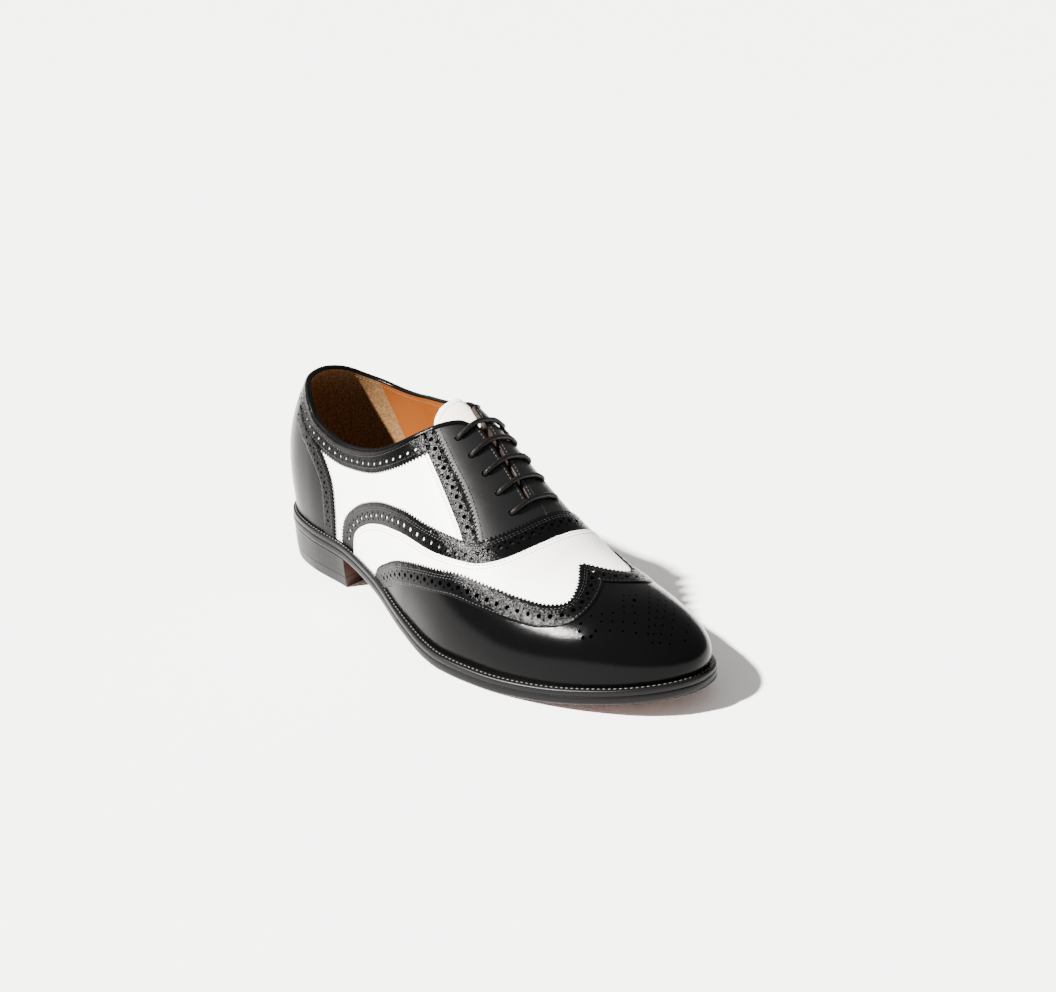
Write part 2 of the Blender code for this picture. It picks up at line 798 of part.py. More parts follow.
def below_feather(extra):
    """An inset that lies inside the feather line by extra."""
    return lambda x: margin(x) + extra


def outsole():
    """The leather outsole, with a rounded lower edge."""
    top = lambda x: underside(x) + OUTSOLE_THICKNESS
    levels = [
        (fixed(EDGE_ROUNDING), underside),
        (fixed(0.3 * EDGE_ROUNDING), lambda x: underside(x) + 0.3 * EDGE_ROUNDING),
        (fixed(0.0), lambda x: underside(x) + EDGE_ROUNDING),
        (fixed(0.0), top),
    ]
    return plate("outsole", levels, SOLE_BLACK, 0.4)


def welt():
    """The welt, a strip round the edge of the outsole that the upper is stitched to."""
    low = lambda x: underside(x) + OUTSOLE_THICKNESS + CLEARANCE
    high = lambda x: low(x) + WELT_THICKNESS
    levels = [
        (fixed(WELT_STEP), low),
        (fixed(WELT_STEP), lambda x: high(x) - WELT_STEP),
        (fixed(2 * WELT_STEP), high),
        (below_feather(WELT_REACH), high),
        (below_feather(WELT_REACH), low),
    ]
    return plate("welt", levels, SOLE_BLACK, 0.45, open_middle=True)


def insole():
    """The insole, which fills the welt and carries the foot out to the upper's wall."""
    low = lambda x: underside(x) + OUTSOLE_THICKNESS + CLEARANCE
    levels = [
        (below_feather(WELT_REACH + CLEARANCE), low),
        (below_feather(WELT_REACH + CLEARANCE), seat),
        (below_feather(WALL + 2 * CLEARANCE), seat),
        (below_feather(WALL + 2 * CLEARANCE), lambda x: seat(x) + INSOLE_THICKNESS),
    ]
    return plate("insole", levels, (0.55, 0.38, 0.22), 0.7)


def heel_block(name, low, high, low_taper, high_taper, colour, roughness):
    """A block of the heel between two heights, with a hollow front."""
    verts = []
    for height, taper in ((low, low_taper), (high, high_taper)):
        x, outer, inner = rows(fixed(taper))
        s = np.linspace(0, 1, HEEL_ROWS + 1) ** 1.5
        run = x[0] + s * (HEEL_LENGTH - x[0])
        across = np.linspace(-1, 1, HEEL_COLUMNS + 1)
        y_low, y_high = np.interp(run, x, outer), np.interp(run, x, inner)
        y = (y_low + y_high)[:, None] / 2 + (y_high - y_low)[:, None] / 2 * across
        px = run[:, None] - BREAST_HOLLOW * (s**6)[:, None] * (1 - across**2)
        verts.append(np.stack([px, y, height(px)], axis=-1).reshape(-1, 3))
    wide = HEEL_COLUMNS + 1
    total = len(verts[0])
    faces = []
    for start in (0, total):
        for i in range(HEEL_ROWS):
            for j in range(HEEL_COLUMNS):
                a = start + i * wide + j
                faces.append((a, a + 1, a + wide + 1, a + wide))
    left = [i * wide for i in range(HEEL_ROWS + 1)]
    right = [i * wide + HEEL_COLUMNS for i in range(HEEL_ROWS + 1)]
    front = [HEEL_ROWS * wide + j for j in range(wide)]
    for path in (left, right, front):
        for a, b in zip(path, path[1:]):
            faces.append((a, b, b + total, a + total))
    return solid(name, np.vstack(verts), faces, colour, roughness)


def heel():
    """The stacked heel and the top piece it stands on."""
    split = lambda x: np.full(np.shape(x), TOP_PIECE_THICKNESS)
    taper = lambda z: HEEL_TAPER * (1 - z / HEEL_HEIGHT) + HEEL_STEP
    heel_block(
        "heel_stack",
        lambda x: split(x) + CLEARANCE,
        lambda x: underside(x) - CLEARANCE,
        taper(TOP_PIECE_THICKNESS),
        taper(HEEL_HEIGHT),
        (0.03, 0.025, 0.022),
        0.5,
    )
    heel_block(
        "heel_top_piece",
        lambda x: 0 * split(x),
        split,
        taper(0.0) + HEEL_STEP,
        taper(TOP_PIECE_THICKNESS),
        (0.02, 0.02, 0.02),
        0.6,
    )


def upper_and_overlays():
    """The hollow upper, with the black pieces that lie on it."""
    last = form("last", 0.0)
    lining = form("lining_form", -WALL, drop=FORM_DROP)
    core = form("overlay_core", CLEARANCE, drop=FORM_DROP)
    skin = form("overlay_skin", CLEARANCE + OVERLAY)
    mouth = patch("mouth_cutter", collar_loop(), -MOUTH_CUT, MOUTH_CUT)
    slit = patch("gap_cutter", gap_region(), -MOUTH_CUT, MOUTH_CUT)
    upper = piece_of(last, "upper", LEATHER_WHITE, 0.35)
    for cut in (lining, mouth, slit):
        combine(upper, cut, "DIFFERENCE")
    swoop = swoop_region()
    swoop_clear = patch("swoop_clear", inset(swoop, -CLEARANCE), -CUT_DEPTH, CUT_RISE)
    band = collar_loop(COLLAR_BAND_WIDTH)
    band_clear = patch("band_clear", inset(band, -CLEARANCE), -CUT_DEPTH, CUT_RISE)
    overlay("wing_cap", wing_region(), skin, core)
    overlay("swoop_band", swoop, skin, core)
    overlay("counter", counter_region(), skin, core, [band_clear, mouth])
    overlay("facing_outer", facing_region(-1), skin, core, [swoop_clear, mouth, slit])
    overlay("facing_inner", facing_region(1), skin, core, [swoop_clear, mouth, slit])
    front_clear = patch("front_clear", inset(front_region(), -CLEARANCE), -CUT_DEPTH, CUT_RISE)
    overlay("collar_band", band, skin, core, [mouth, front_clear])


def tongue():
    """The tongue, inside the upper and clear of its wall."""
    outside = -WALL - CLEARANCE
    skin = form("tongue_skin", outside)
    core = form("tongue_core", outside - TONGUE_THICKNESS, drop=FORM_DROP)
    panel = patch("tongue_cutter", tongue_region(), outside - CUT_RISE, CUT_RISE)
    piece = piece_of(skin, "tongue", LEATHER_WHITE, 0.4)
    combine(piece, panel, "INTERSECT")
    combine(piece, core, "DIFFERENCE")


def lace_bar(name, along):
    """One bar of the lace, which lies across the gap from eyelet to eyelet."""
    q = np.linspace(-EYELET_OUTER, EYELET_INNER, 10)
    height = OVERLAY + 2 * CLEARANCE + LACE_THICKNESS / 2
    path = lift(np.c_[np.full(len(q), along), q], height)
    data = bpy.data.curves.new(name, "CURVE")
    data.dimensions = "3D"
    spline = data.splines.new("POLY")
    spline.points.add(len(path) - 1)
    for point, place in zip(spline.points, path):
        point.co = (*place, 1.0)
    data.bevel_depth = LACE_THICKNESS / 2
    data.bevel_resolution = 2
    data.use_fill_caps = True
    data.materials.append(paint(name, (0.01, 0.01, 0.01), 0.5))
    item = bpy.data.objects.new(name, data)
    bpy.context.scene.collection.objects.link(item)


def laces():
    """The straight lacing, a bar for each pair of eyelets."""
    for i, along in enumerate(np.linspace(EYELET_FIRST, EYELET_LAST, LACE_ROWS)):
        lace_bar(f"lace_bar_{i + 1}", along)


def extent(item):
    """The lowest and highest corner of an item."""
    mesh = item.to_mesh()
    places = np.array([v.co for v in mesh.vertices])
    item.to_mesh_clear()
    return np.array([places.min(axis=0), places.max(axis=0)])


def recentre():
    """Put the origin under the middle of the shoe, on the floor."""
    bpy.context.view_layer.update()
    graph = bpy.context.evaluated_depsgraph_get()
    shown = [item for item in bpy.data.objects if not item.hide_render]
    corners = np.vstack([extent(item.evaluated_get(graph)) for item in shown])
    middle_point = (corners.min(axis=0) + corners.max(axis=0)) / 2
    for item in bpy.data.objects:
        item.location = (-middle_point[0], -middle_point[1], 0.0)


outsole()
welt()
insole()
heel()
upper_and_overlays()
tongue()
laces()
recentre()
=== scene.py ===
"""Looks of the black and white wing-tip oxford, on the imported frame."""

import math

import bmesh
import bpy
import numpy as np
from mathutils import Matrix, Vector, kdtree
from mathutils.geometry import delaunay_2d_cdt


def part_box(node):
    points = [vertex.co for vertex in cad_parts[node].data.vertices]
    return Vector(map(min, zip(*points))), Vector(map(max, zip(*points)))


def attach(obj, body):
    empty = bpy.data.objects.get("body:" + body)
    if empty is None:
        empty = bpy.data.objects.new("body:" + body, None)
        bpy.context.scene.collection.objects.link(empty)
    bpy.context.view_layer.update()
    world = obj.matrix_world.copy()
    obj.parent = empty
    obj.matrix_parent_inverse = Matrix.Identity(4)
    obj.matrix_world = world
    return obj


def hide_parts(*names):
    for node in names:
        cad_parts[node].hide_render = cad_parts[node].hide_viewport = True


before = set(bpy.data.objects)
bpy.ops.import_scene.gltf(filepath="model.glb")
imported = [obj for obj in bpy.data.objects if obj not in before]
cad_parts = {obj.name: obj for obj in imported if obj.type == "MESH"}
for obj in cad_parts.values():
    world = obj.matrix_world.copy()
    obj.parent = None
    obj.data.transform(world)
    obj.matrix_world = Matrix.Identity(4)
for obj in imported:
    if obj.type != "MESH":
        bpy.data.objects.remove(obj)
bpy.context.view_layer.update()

MM = 0.001

# Sole: lengths, widths and heights
SHOE_LENGTH = 307 * MM
BALL_WIDTH = 112 * MM
WAIST_WIDTH = 76 * MM
HEEL_WIDTH = 71 * MM
TOE_WIDTH = 74 * MM
HEEL_LENGTH = 76 * MM
HEEL_HEIGHT = 19 * MM
TOE_SPRING = 11 * MM
OUTSOLE_THICKNESS = 4.6 * MM
WELT_THICKNESS = 3.2 * MM
WELT_REACH = 5 * MM
TOP_PIECE_THICKNESS = 6 * MM
HEEL_TAPER = 1.6 * MM

# Margin of sole that shows round the upper
HEEL_MARGIN = 3.0 * MM
WAIST_MARGIN = 3.5 * MM
BALL_MARGIN = 6.0 * MM
TOE_MARGIN = 5.0 * MM

# Upper: heights above the floor, wall and openings
INSTEP_HEIGHT = 116 * MM
TOE_HEIGHT = 46 * MM
WALL = 2.2 * MM
TONGUE_WIDTH = 52 * MM
TONGUE_RISE = 7 * MM
TONGUE_THICKNESS = 2.0 * MM
THROAT_LENGTH = 0.443 * SHOE_LENGTH
GAP_END = 0.6254 * SHOE_LENGTH
GAP_WIDTH = 6 * MM
HEEL_CENTRE = 0.14 * SHOE_LENGTH
TOE_CENTRE = 0.86 * SHOE_LENGTH
INSTEP_SWING = 2 * MM

CLEARANCE = 0.3 * MM
HEEL_STEP = 0.4 * MM
BREAST_HOLLOW = 3.5 * MM
EYELET_FIRST = 0.487 * SHOE_LENGTH
EYELET_LAST = 0.6287 * SHOE_LENGTH
EYELET_OUTER = 17.0 * MM
EYELET_INNER = 14.0 * MM
LACE_ROWS = 5

SOLE_STEPS = 32


def columns(names, rows):
    """A table as a dict of its named columns."""
    return dict(zip(names.split(), (np.array(c, float) for c in zip(*rows))))


# Outline of the outsole. along: share of the length; width: the named width there;
# outer and inner: shares of that width on the two sides of the middle line.
OUTLINE = columns(
    "along width outer inner",
    [
        (0.022, HEEL_WIDTH, 0.275, 0.240),
        (0.068, HEEL_WIDTH, 0.425, 0.405),
        (0.138, HEEL_WIDTH, 0.505, 0.500),
        (0.247, WAIST_WIDTH, 0.495, 0.440),
        (0.365, WAIST_WIDTH, 0.575, 0.355),
        (0.483, WAIST_WIDTH, 0.715, 0.430),
        (0.602, BALL_WIDTH, 0.550, 0.390),
        (0.700, BALL_WIDTH, 0.530, 0.455),
        (0.789, BALL_WIDTH, 0.465, 0.445),
        (0.878, TOE_WIDTH, 0.540, 0.555),
        (0.948, TOE_WIDTH, 0.335, 0.440),
        (0.987, TOE_WIDTH, 0.120, 0.290),
    ],
)
BACK_POINT = (0.0, 0.0)
TOE_POINT = (1.0, 0.0625)  # shares of the length and of BALL_WIDTH

# Height of the outsole's underside. heel and spring: shares of HEEL_HEIGHT and TOE_SPRING.
UNDERSIDE = columns(
    "along heel spring",
    [
        (0.00, 1.06, 0.0), (0.12, 1.00, 0.0), (0.24, 0.92, 0.0), (0.34, 0.70, 0.0),
        (0.46, 0.32, 0.0), (0.57, 0.03, 0.0), (0.61, 0.00, 0.0), (0.71, 0.00, 0.0),
        (0.80, 0.00, 0.13), (0.90, 0.00, 0.50), (1.00, 0.00, 1.0),
    ],
)

# Ridge over the foot. height: share of INSTEP_HEIGHT behind, of TOE_HEIGHT in front.
RIDGE = columns(
    "along instep toe",
    [
        (0.00, 1.11, 0.0), (0.25, 1.11, 0.0), (0.36, 1.07, 0.0), (0.44, 1.00, 0.0),
        (0.52, 0.88, 0.0), (0.60, 0.735, 0.0), (0.67, 0.600, 0.0), (0.74, 0.495, 0.0),
        (0.80, 0.0, 1.12), (0.88, 0.0, 1.03), (1.00, 0.0, 0.84),
    ],
)

# Shape of the columns. swell: how far the wall stands out over the feather line, as a share
# of the half width; side and top: powers of the curve, higher is boxier.
SECTIONS = columns(
    "along swell side top",
    [
        (0.00, 0.24, 2.2, 2.2), (0.13, 0.18, 2.25, 2.25), (0.30, 0.08, 2.3, 2.3),
        (0.44, 0.06, 2.0, 2.1), (0.58, 0.06, 1.9, 1.9), (0.72, 0.08, 2.1, 1.9),
        (0.86, 0.08, 2.4, 2.2), (1.00, 0.08, 2.7, 2.4),
    ],
)


def smooth(x, xs, ys):
    """A smooth curve through the rows (xs, ys), which never swings past them."""
    xs, ys = np.asarray(xs, float), np.asarray(ys, float)
    steps = np.diff(xs)
    slopes = np.diff(ys) / steps
    tangents = np.r_[slopes[0], np.zeros(len(xs) - 2), slopes[-1]]
    for i in range(1, len(xs) - 1):
        before, after = slopes[i - 1], slopes[i]
        if before * after > 0:
            a, b = 2 * steps[i] + steps[i - 1], steps[i] + 2 * steps[i - 1]
            tangents[i] = (a + b) / (a / before + b / after)
    i = np.clip(np.searchsorted(xs, x) - 1, 0, len(xs) - 2)
    t = np.clip((x - xs[i]) / steps[i], 0, 1)
    return (
        (1 + 2 * t) * (1 - t) ** 2 * ys[i]
        + t * (1 - t) ** 2 * steps[i] * tangents[i]
        + t * t * (3 - 2 * t) * ys[i + 1]
        + t * t * (t - 1) * steps[i] * tangents[i + 1]
    )


def curve(points, count, closed=False):
    """A centripetal Catmull-Rom curve through the points, as evenly spaced points."""
    points = np.asarray(points, float)
    if closed:
        points = np.vstack([points[-1:], points, points[:2]])
    else:
        points = np.vstack([2 * points[0] - points[1], points, 2 * points[-1] - points[-2]])
    dense = []
    for i in range(len(points) - 3):
        p = points[i : i + 4]
        t = [0.0]
        for k in range(3):
            t.append(t[-1] + math.sqrt(np.linalg.norm(p[k + 1] - p[k])))
        s = np.linspace(t[1], t[2], 24, endpoint=False)[:, None]
        a = [((t[k + 1] - s) * p[k] + (s - t[k]) * p[k + 1]) / (t[k + 1] - t[k]) for k in range(3)]
        b = [((t[k + 2] - s) * a[k] + (s - t[k]) * a[k + 1]) / (t[k + 2] - t[k]) for k in range(2)]
        dense.append(((t[2] - s) * b[0] + (s - t[1]) * b[1]) / (t[2] - t[1]))
    dense = np.vstack(dense + [points[-2:-1]])
    along = np.r_[0, np.cumsum(np.linalg.norm(np.diff(dense, axis=0), axis=1))]
    even = np.linspace(0, along[-1], count, endpoint=not closed)
    return np.c_[np.interp(even, along, dense[:, 0]), np.interp(even, along, dense[:, 1])]


def sole_outline(count=480):
    """The outsole seen from above, from the back point round the outer side."""
    x = OUTLINE["along"] * SHOE_LENGTH
    outer = np.c_[x, -OUTLINE["outer"] * OUTLINE["width"]]
    inner = np.c_[x, OUTLINE["inner"] * OUTLINE["width"]]
    back = np.array([BACK_POINT]) * SHOE_LENGTH
    toe = np.array([TOE_POINT]) * (SHOE_LENGTH, BALL_WIDTH)
    return curve(np.vstack([back, outer, toe, inner[::-1]]), count, closed=True)


def inset(loop, margin):
    """The loop drawn in by margin, which is one number or one for each point."""
    run = np.roll(loop, -1, axis=0) - np.roll(loop, 1, axis=0)
    run /= np.linalg.norm(run, axis=1)[:, None]
    x, y = loop.T
    turn = np.sign((x * np.roll(y, -1) - y * np.roll(x, -1)).sum())
    inward = turn * np.c_[-run[:, 1], run[:, 0]]
    return loop + inward * np.broadcast_to(margin, len(loop))[:, None]


def underside(x):
    """Height of the outsole's underside over the floor."""
    s = x / SHOE_LENGTH
    heel = smooth(s, UNDERSIDE["along"], UNDERSIDE["heel"]) * HEEL_HEIGHT
    return heel + smooth(s, UNDERSIDE["along"], UNDERSIDE["spring"]) * TOE_SPRING


def seat(x):
    """Height of the welt's top, on which the upper stands."""
    return underside(x) + OUTSOLE_THICKNESS + WELT_THICKNESS + 2 * CLEARANCE


def ridge(x):
    """Height of the ridge over the foot."""
    heights = RIDGE["instep"] * INSTEP_HEIGHT + RIDGE["toe"] * TOE_HEIGHT
    return smooth(x / SHOE_LENGTH, RIDGE["along"], heights)


def middle(x):
    """How far the ridge swings to the inner side."""
    return INSTEP_SWING * smooth(x / SHOE_LENGTH, [0.0, 0.2, 0.5, 0.75, 1.0], [0, 0, 1, 0, 0])


def margin(x):
    """Width of sole that shows round the upper."""
    shares = [0.0, 0.2, 0.4, 0.68, 0.9, 1.0]
    sizes = [HEEL_MARGIN, HEEL_MARGIN, WAIST_MARGIN, BALL_MARGIN, TOE_MARGIN, TOE_MARGIN]
    return smooth(x / SHOE_LENGTH, shares, sizes)


# The stations run round the last: back quarter, outer side, toe half, inner side, back quarter.
QUARTER = 60 * MM
SIDE = TOE_CENTRE - HEEL_CENTRE
ROUND = 4 * QUARTER + 2 * SIDE
STATION_COUNT = 480
TURN_COUNT = 64


def column_foot(u):
    """Where the column of station u stands on the ridge (x, y), and which way it leans."""
    u = np.mod(u, ROUND)
    mirrored = u > ROUND / 2
    v = np.where(mirrored, ROUND - u, u)
    heel = np.clip(v / QUARTER, 0, 1) * math.pi / 2
    toe = np.clip((v - QUARTER - SIDE) / QUARTER, 0, 1) * math.pi / 2
    x = HEEL_CENTRE + np.clip(v - QUARTER, 0, SIDE)
    dx = np.where(v < QUARTER, -np.cos(heel), np.sin(toe))
    dy = -np.where(v < QUARTER, np.sin(heel), np.cos(toe))
    return x, middle(x), dx, np.where(mirrored, -dy, dy)


def feather_line():
    """The line where the upper meets the welt, seen from above."""
    outline = sole_outline()
    return inset(outline, margin(outline[:, 0]))


def reach_of(u, loop):
    """How far it is from the ridge to the loop along each column."""
    x, y, dx, dy = column_foot(u)
    a = loop
    b = np.roll(loop, -1, axis=0)
    ex, ey = (b - a).T
    cross = dx[:, None] * ey - dy[:, None] * ex
    cross = np.where(abs(cross) < 1e-15, 1e-15, cross)
    rx, ry = a[:, 0] - x[:, None], a[:, 1] - y[:, None]
    along = (rx * ey - ry * ex) / cross
    share = (rx * dy[:, None] - ry * dx[:, None]) / cross
    hit = (share >= 0) & (share <= 1) & (along > 0)
    return np.where(hit, along, 0).max(axis=1)


STATIONS = np.linspace(0, ROUND, STATION_COUNT + 1)
REACH = reach_of(STATIONS, feather_line())


def surface(u, phi):
    """The last's surface at station u and angle phi: 0 at the feather line, 90 degrees on top."""
    x, y, dx, dy = column_foot(u)
    reach = np.interp(np.mod(u, ROUND), STATIONS, REACH)
    s = (x + dx * reach) / SHOE_LENGTH
    swell = smooth(s, SECTIONS["along"], SECTIONS["swell"])
    side = smooth(s, SECTIONS["along"], SECTIONS["side"])
    top = smooth(s, SECTIONS["along"], SECTIONS["top"])
    out = np.cos(phi) ** (2 / side)
    out = out * (1 + swell * np.sin(2 * phi) * np.cos(phi) ** 3) * reach
    px, py = x + dx * out, y + dy * out
    low = seat(px)
    return px, py, low + (ridge(px) - low) * np.sin(phi) ** (2 / top)


def arc_tables():
    """For every station: the column's length, and the angle at even shares of that length."""
    phi = np.linspace(math.pi / 2, 0, TURN_COUNT + 1)
    lengths, angles = [], []
    for u in STATIONS:
        points = np.stack(surface(np.full(len(phi), u), phi), axis=1)
        run = np.r_[0, np.cumsum(np.linalg.norm(np.diff(points, axis=0), axis=1))]
        lengths.append(run[-1])
        angles.append(np.interp(np.linspace(0, run[-1], TURN_COUNT + 1), run, phi))
    return np.array(lengths), np.array(angles)


LENGTHS, ANGLES = arc_tables()


def on_last(p, q):
    """The last's surface at p along the ridge and q round the leather, minus on the outer side.

    Round the heel and toe centres, p and q are a flat fan of the columns there. Past the
    feather line the leather goes on straight down.
    """
    side = abs(q)
    back = np.arctan2(side, HEEL_CENTRE - p) / (math.pi / 2)
    front = np.arctan2(p - TOE_CENTRE, side) / (math.pi / 2)
    v = np.where(p < HEEL_CENTRE, QUARTER * back, QUARTER + p - HEEL_CENTRE)
    v = np.where(p > TOE_CENTRE, QUARTER * (1 + front) + SIDE, v)
    run = np.hypot(side, np.minimum(p - HEEL_CENTRE, 0) + np.maximum(p - TOE_CENTRE, 0))
    u = np.where(q > 0, ROUND - v, v)
    place = u / ROUND * STATION_COUNT
    i = np.clip(place.astype(int), 0, STATION_COUNT - 1)
    f = place - i
    length = LENGTHS[i] * (1 - f) + LENGTHS[i + 1] * f
    share = np.clip(run / length, 0, 1) * TURN_COUNT
    j = np.clip(share.astype(int), 0, TURN_COUNT - 1)
    g = share - j
    phi = (1 - f) * ((1 - g) * ANGLES[i, j] + g * ANGLES[i, j + 1])
    phi += f * ((1 - g) * ANGLES[i + 1, j] + g * ANGLES[i + 1, j + 1])
    x, y, z = surface(u, np.clip(phi, 0, math.pi / 2))
    return np.stack([x, y, z - np.maximum(run - length, 0)], axis=-1)


def lift(plan, height):
    """Points at a height over the last, from rows of (p, q)."""
    p, q = np.asarray(plan, float).T
    step = 0.5 * MM
    along = on_last(p + step, q) - on_last(p - step, q)
    across = on_last(p, q + step) - on_last(p, q - step)
    normal = np.cross(along, across)
    normal /= np.linalg.norm(normal, axis=1)[:, None]
    return on_last(p, q) + normal * height


# Edges of the leather pieces. along: share of SHOE_LENGTH; round, outer and inner: the way
# round the leather from the ridge, as shares of GIRTH.
GIRTH = 120 * MM
COLLAR = columns(
    "along outer inner",
    [
        (0.024, 0.118, 0.116), (0.043, 0.223, 0.247), (0.074, 0.291, 0.318), (0.113, 0.382, 0.364),
        (0.160, 0.440, 0.382), (0.200, 0.476, 0.370), (0.241, 0.493, 0.347), (0.287, 0.483, 0.304),
        (0.330, 0.450, 0.246), (0.377, 0.374, 0.190), (0.408, 0.298, 0.152), (0.432, 0.222, 0.120),
        (0.447, 0.165, 0.100), (0.461, 0.112, 0.066), (0.470, 0.080, 0.020), (0.484, 0.052, -0.020),
    ],
)
COLLAR_BACK = 0.010
# Half of the tongue, from its top to its foot under the vamp. along: share of its length;
# round: share of half its width.
TONGUE = columns(
    "along round",
    [
        (0.000, 0.00), (0.006, 0.50), (0.055, 0.86), (0.210, 1.00), (0.600, 0.80), (1.000, 0.60),
    ],
)
TONGUE_TUCK = 12 * MM
COLLAR_BAND_WIDTH = 10.5 * MM
SWOOP_TOP = columns(
    "along round",
    [
        (0.238, 1.100), (0.241, 0.940), (0.253, 0.855), (0.293, 0.760), (0.355, 0.671),
        (0.435, 0.592), (0.512, 0.520), (0.568, 0.450), (0.607, 0.384), (0.640, 0.255),
        (0.656, 0.125), (0.660, 0.000),
    ],
)
SWOOP_FOOT = columns(
    "along round",
    [
        (0.283, 1.150), (0.284, 0.904), (0.324, 0.807), (0.380, 0.736), (0.457, 0.659),
        (0.540, 0.567), (0.608, 0.459), (0.639, 0.393), (0.673, 0.267), (0.691, 0.119),
        (0.695, 0.000),
    ],
)
WING = columns(
    "along round",
    [
        (0.352, 1.150), (0.370, 0.986), (0.420, 0.870), (0.503, 0.712), (0.568, 0.588),
        (0.623, 0.479), (0.688, 0.376), (0.737, 0.304), (0.778, 0.248), (0.802, 0.182),
        (0.793, 0.101), (0.757, 0.000),
    ],
)
WING_LEAN = 4 * MM
COUNTER = columns(
    "along round",
    [
        (0.061, 0.366), (0.125, 0.470), (0.173, 0.557), (0.210, 0.692), (0.216, 0.820),
        (0.213, 0.961), (0.208, 1.150),
    ],
)
FACING = columns(
    "along round",
    [
        (0.413, 0.200), (0.454, 0.286), (0.500, 0.327), (0.540, 0.359), (0.577, 0.387),
        (0.606, 0.420),
    ],
)
GAP_TOP = 0.8 * MM
GAP_FOOT = -4.8 * MM
GAP_SPARE = 12 * MM


def edge(table, side, column="round", count=17):
    """A leather edge as rows of (p, q); side is -1 on the outer side and 1 on the inner."""
    points = np.c_[table["along"] * SHOE_LENGTH, side * table[column] * GIRTH]
    return curve(points, count)


def collar_loop(width=0.0, count=44):
    """The rim of the shoe's mouth, or a line that runs below it by width."""
    back = [[COLLAR_BACK * SHOE_LENGTH, 0]]
    outer = np.c_[COLLAR["along"] * SHOE_LENGTH, -COLLAR["outer"] * GIRTH]
    inner = np.c_[COLLAR["along"] * SHOE_LENGTH, COLLAR["inner"] * GIRTH]
    loop = curve(np.vstack([back, outer, inner[::-1]]), count, closed=True)
    return inset(loop, -width)


def hem(start, end, spare, count):
    """Rows of (p, q) that run below the feather line from station start to station end."""
    u = np.linspace(start, end, count)
    x, _, dx, dy = column_foot(u)
    run = np.interp(np.mod(u, ROUND), STATIONS, LENGTHS) + spare
    return np.c_[x + dx * run, dy * run]


def front_region():
    """All that lies in front of the rear edges of the two facings, as far as the vamp."""
    outer, inner = edge(FACING, -1), edge(FACING, 1)
    return np.vstack([outer, inner[::-1]])


def gap_region(spare=GAP_SPARE):
    """The slit between the two facings."""
    half = GAP_WIDTH / 2
    top = THROAT_LENGTH - spare
    rows = [(top, GAP_TOP - half), (GAP_END, GAP_FOOT - half / 3)]
    return np.array(rows + [(GAP_END, GAP_FOOT + half / 3), (top, GAP_TOP + half)])


def tongue_region():
    """The tongue, which widens from its foot under the vamp to its rounded top."""
    half, top = TONGUE_WIDTH / 2, THROAT_LENGTH - TONGUE_RISE
    foot = GAP_END + TONGUE_TUCK
    length = foot - top
    along = top + TONGUE["along"] * length
    half_loop = np.c_[along, TONGUE["round"] * half]
    return curve(np.vstack([half_loop, half_loop[:0:-1] * (1, -1)]), 48, closed=True)


def inside(points, loop):
    """Which points lie inside the loop."""
    ax, ay = loop.T
    bx, by = np.roll(loop, -1, axis=0).T
    x, y = points[:, :1], points[:, 1:]
    crosses = (ay > y) != (by > y)
    rise = np.where(by == ay, 1e-12, by - ay)
    return (crosses & (x < ax + (y - ay) / rise * (bx - ax))).sum(axis=1) % 2 == 1


def rows(draw_in, count=SOLE_STEPS):
    """The sole's outline drawn in: x from back to toe, with y of the outer and inner side."""
    outline = sole_outline()
    loop = inset(outline, draw_in(outline[:, 0]))
    back, front = loop[:, 0].argmin(), loop[:, 0].argmax()
    outer = loop[back : front + 1] if back < front else np.vstack([loop[back:], loop[: front + 1]])
    inner = np.vstack([loop[front:], loop[: back + 1]]) if back < front else loop[front : back + 1]
    s = (1 - np.cos(np.linspace(0, math.pi, count + 1))) / 2
    x = loop[back, 0] + s * (loop[front, 0] - loop[back, 0])
    inner = inner[::-1]
    low = np.interp(x, outer[:, 0], outer[:, 1])
    high = np.interp(x, inner[:, 0], inner[:, 1])
    low[[0, -1]] = high[[0, -1]] = loop[[back, front], 1]
    return x, low, high


def wall_faces(count, first, second):
    """Faces between two rings of count points, given where each begins."""
    faces = []
    for i in range(count):
        k = (i + 1) % count
        faces.append((first + i, first + k, second + k, second + i))
    return faces


def cap_faces(count, start):
    """Faces that close a ring from the outer side across to the inner."""
    faces = [(start, start + 1, start + count - 1)]
    for i in range(1, count // 2 - 1):
        faces.append((start + i, start + i + 1, start + count - i - 1, start + count - i))
    last = count // 2
    faces.append((start + last - 1, start + last, start + last + 1))
    return faces


def fixed(size):
    """An inset that is the same all round."""
    return lambda x: np.full(np.shape(x), size)


def below_feather(extra):
    """An inset that lies inside the feather line by extra."""
    return lambda x: margin(x) + extra


# ---------------------------------------------------------------- seen surface
OUTLINE_LOOP = sole_outline()
SHIFT = np.array([*(np.array(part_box("outsole")[0][:2]) - OUTLINE_LOOP.min(axis=0)), 0.0])

# Soft creases over the joint of the toes and beside the lacing.
# along, round: middle of the crease; length, width: its size in mm; depth: mm, up is plus;
# turn: degrees from straight across.
CREASES = [
    (0.700, 0.22, 44, 5.0, -0.12, 6),
    (0.722, 0.20, 40, 5.5, 0.08, 8),
    (0.745, 0.14, 34, 5.0, -0.10, 4),
    (0.700, -0.26, 44, 5.0, -0.12, -6),
    (0.722, -0.24, 40, 5.5, 0.08, -8),
    (0.745, -0.20, 34, 5.0, -0.10, -4),
    (0.470, 0.60, 40, 10.0, -0.25, 70),
    (0.300, 0.62, 36, 9.0, 0.20, 60),
    (0.490, -0.19, 80, 19.0, 2.6, 90),
]


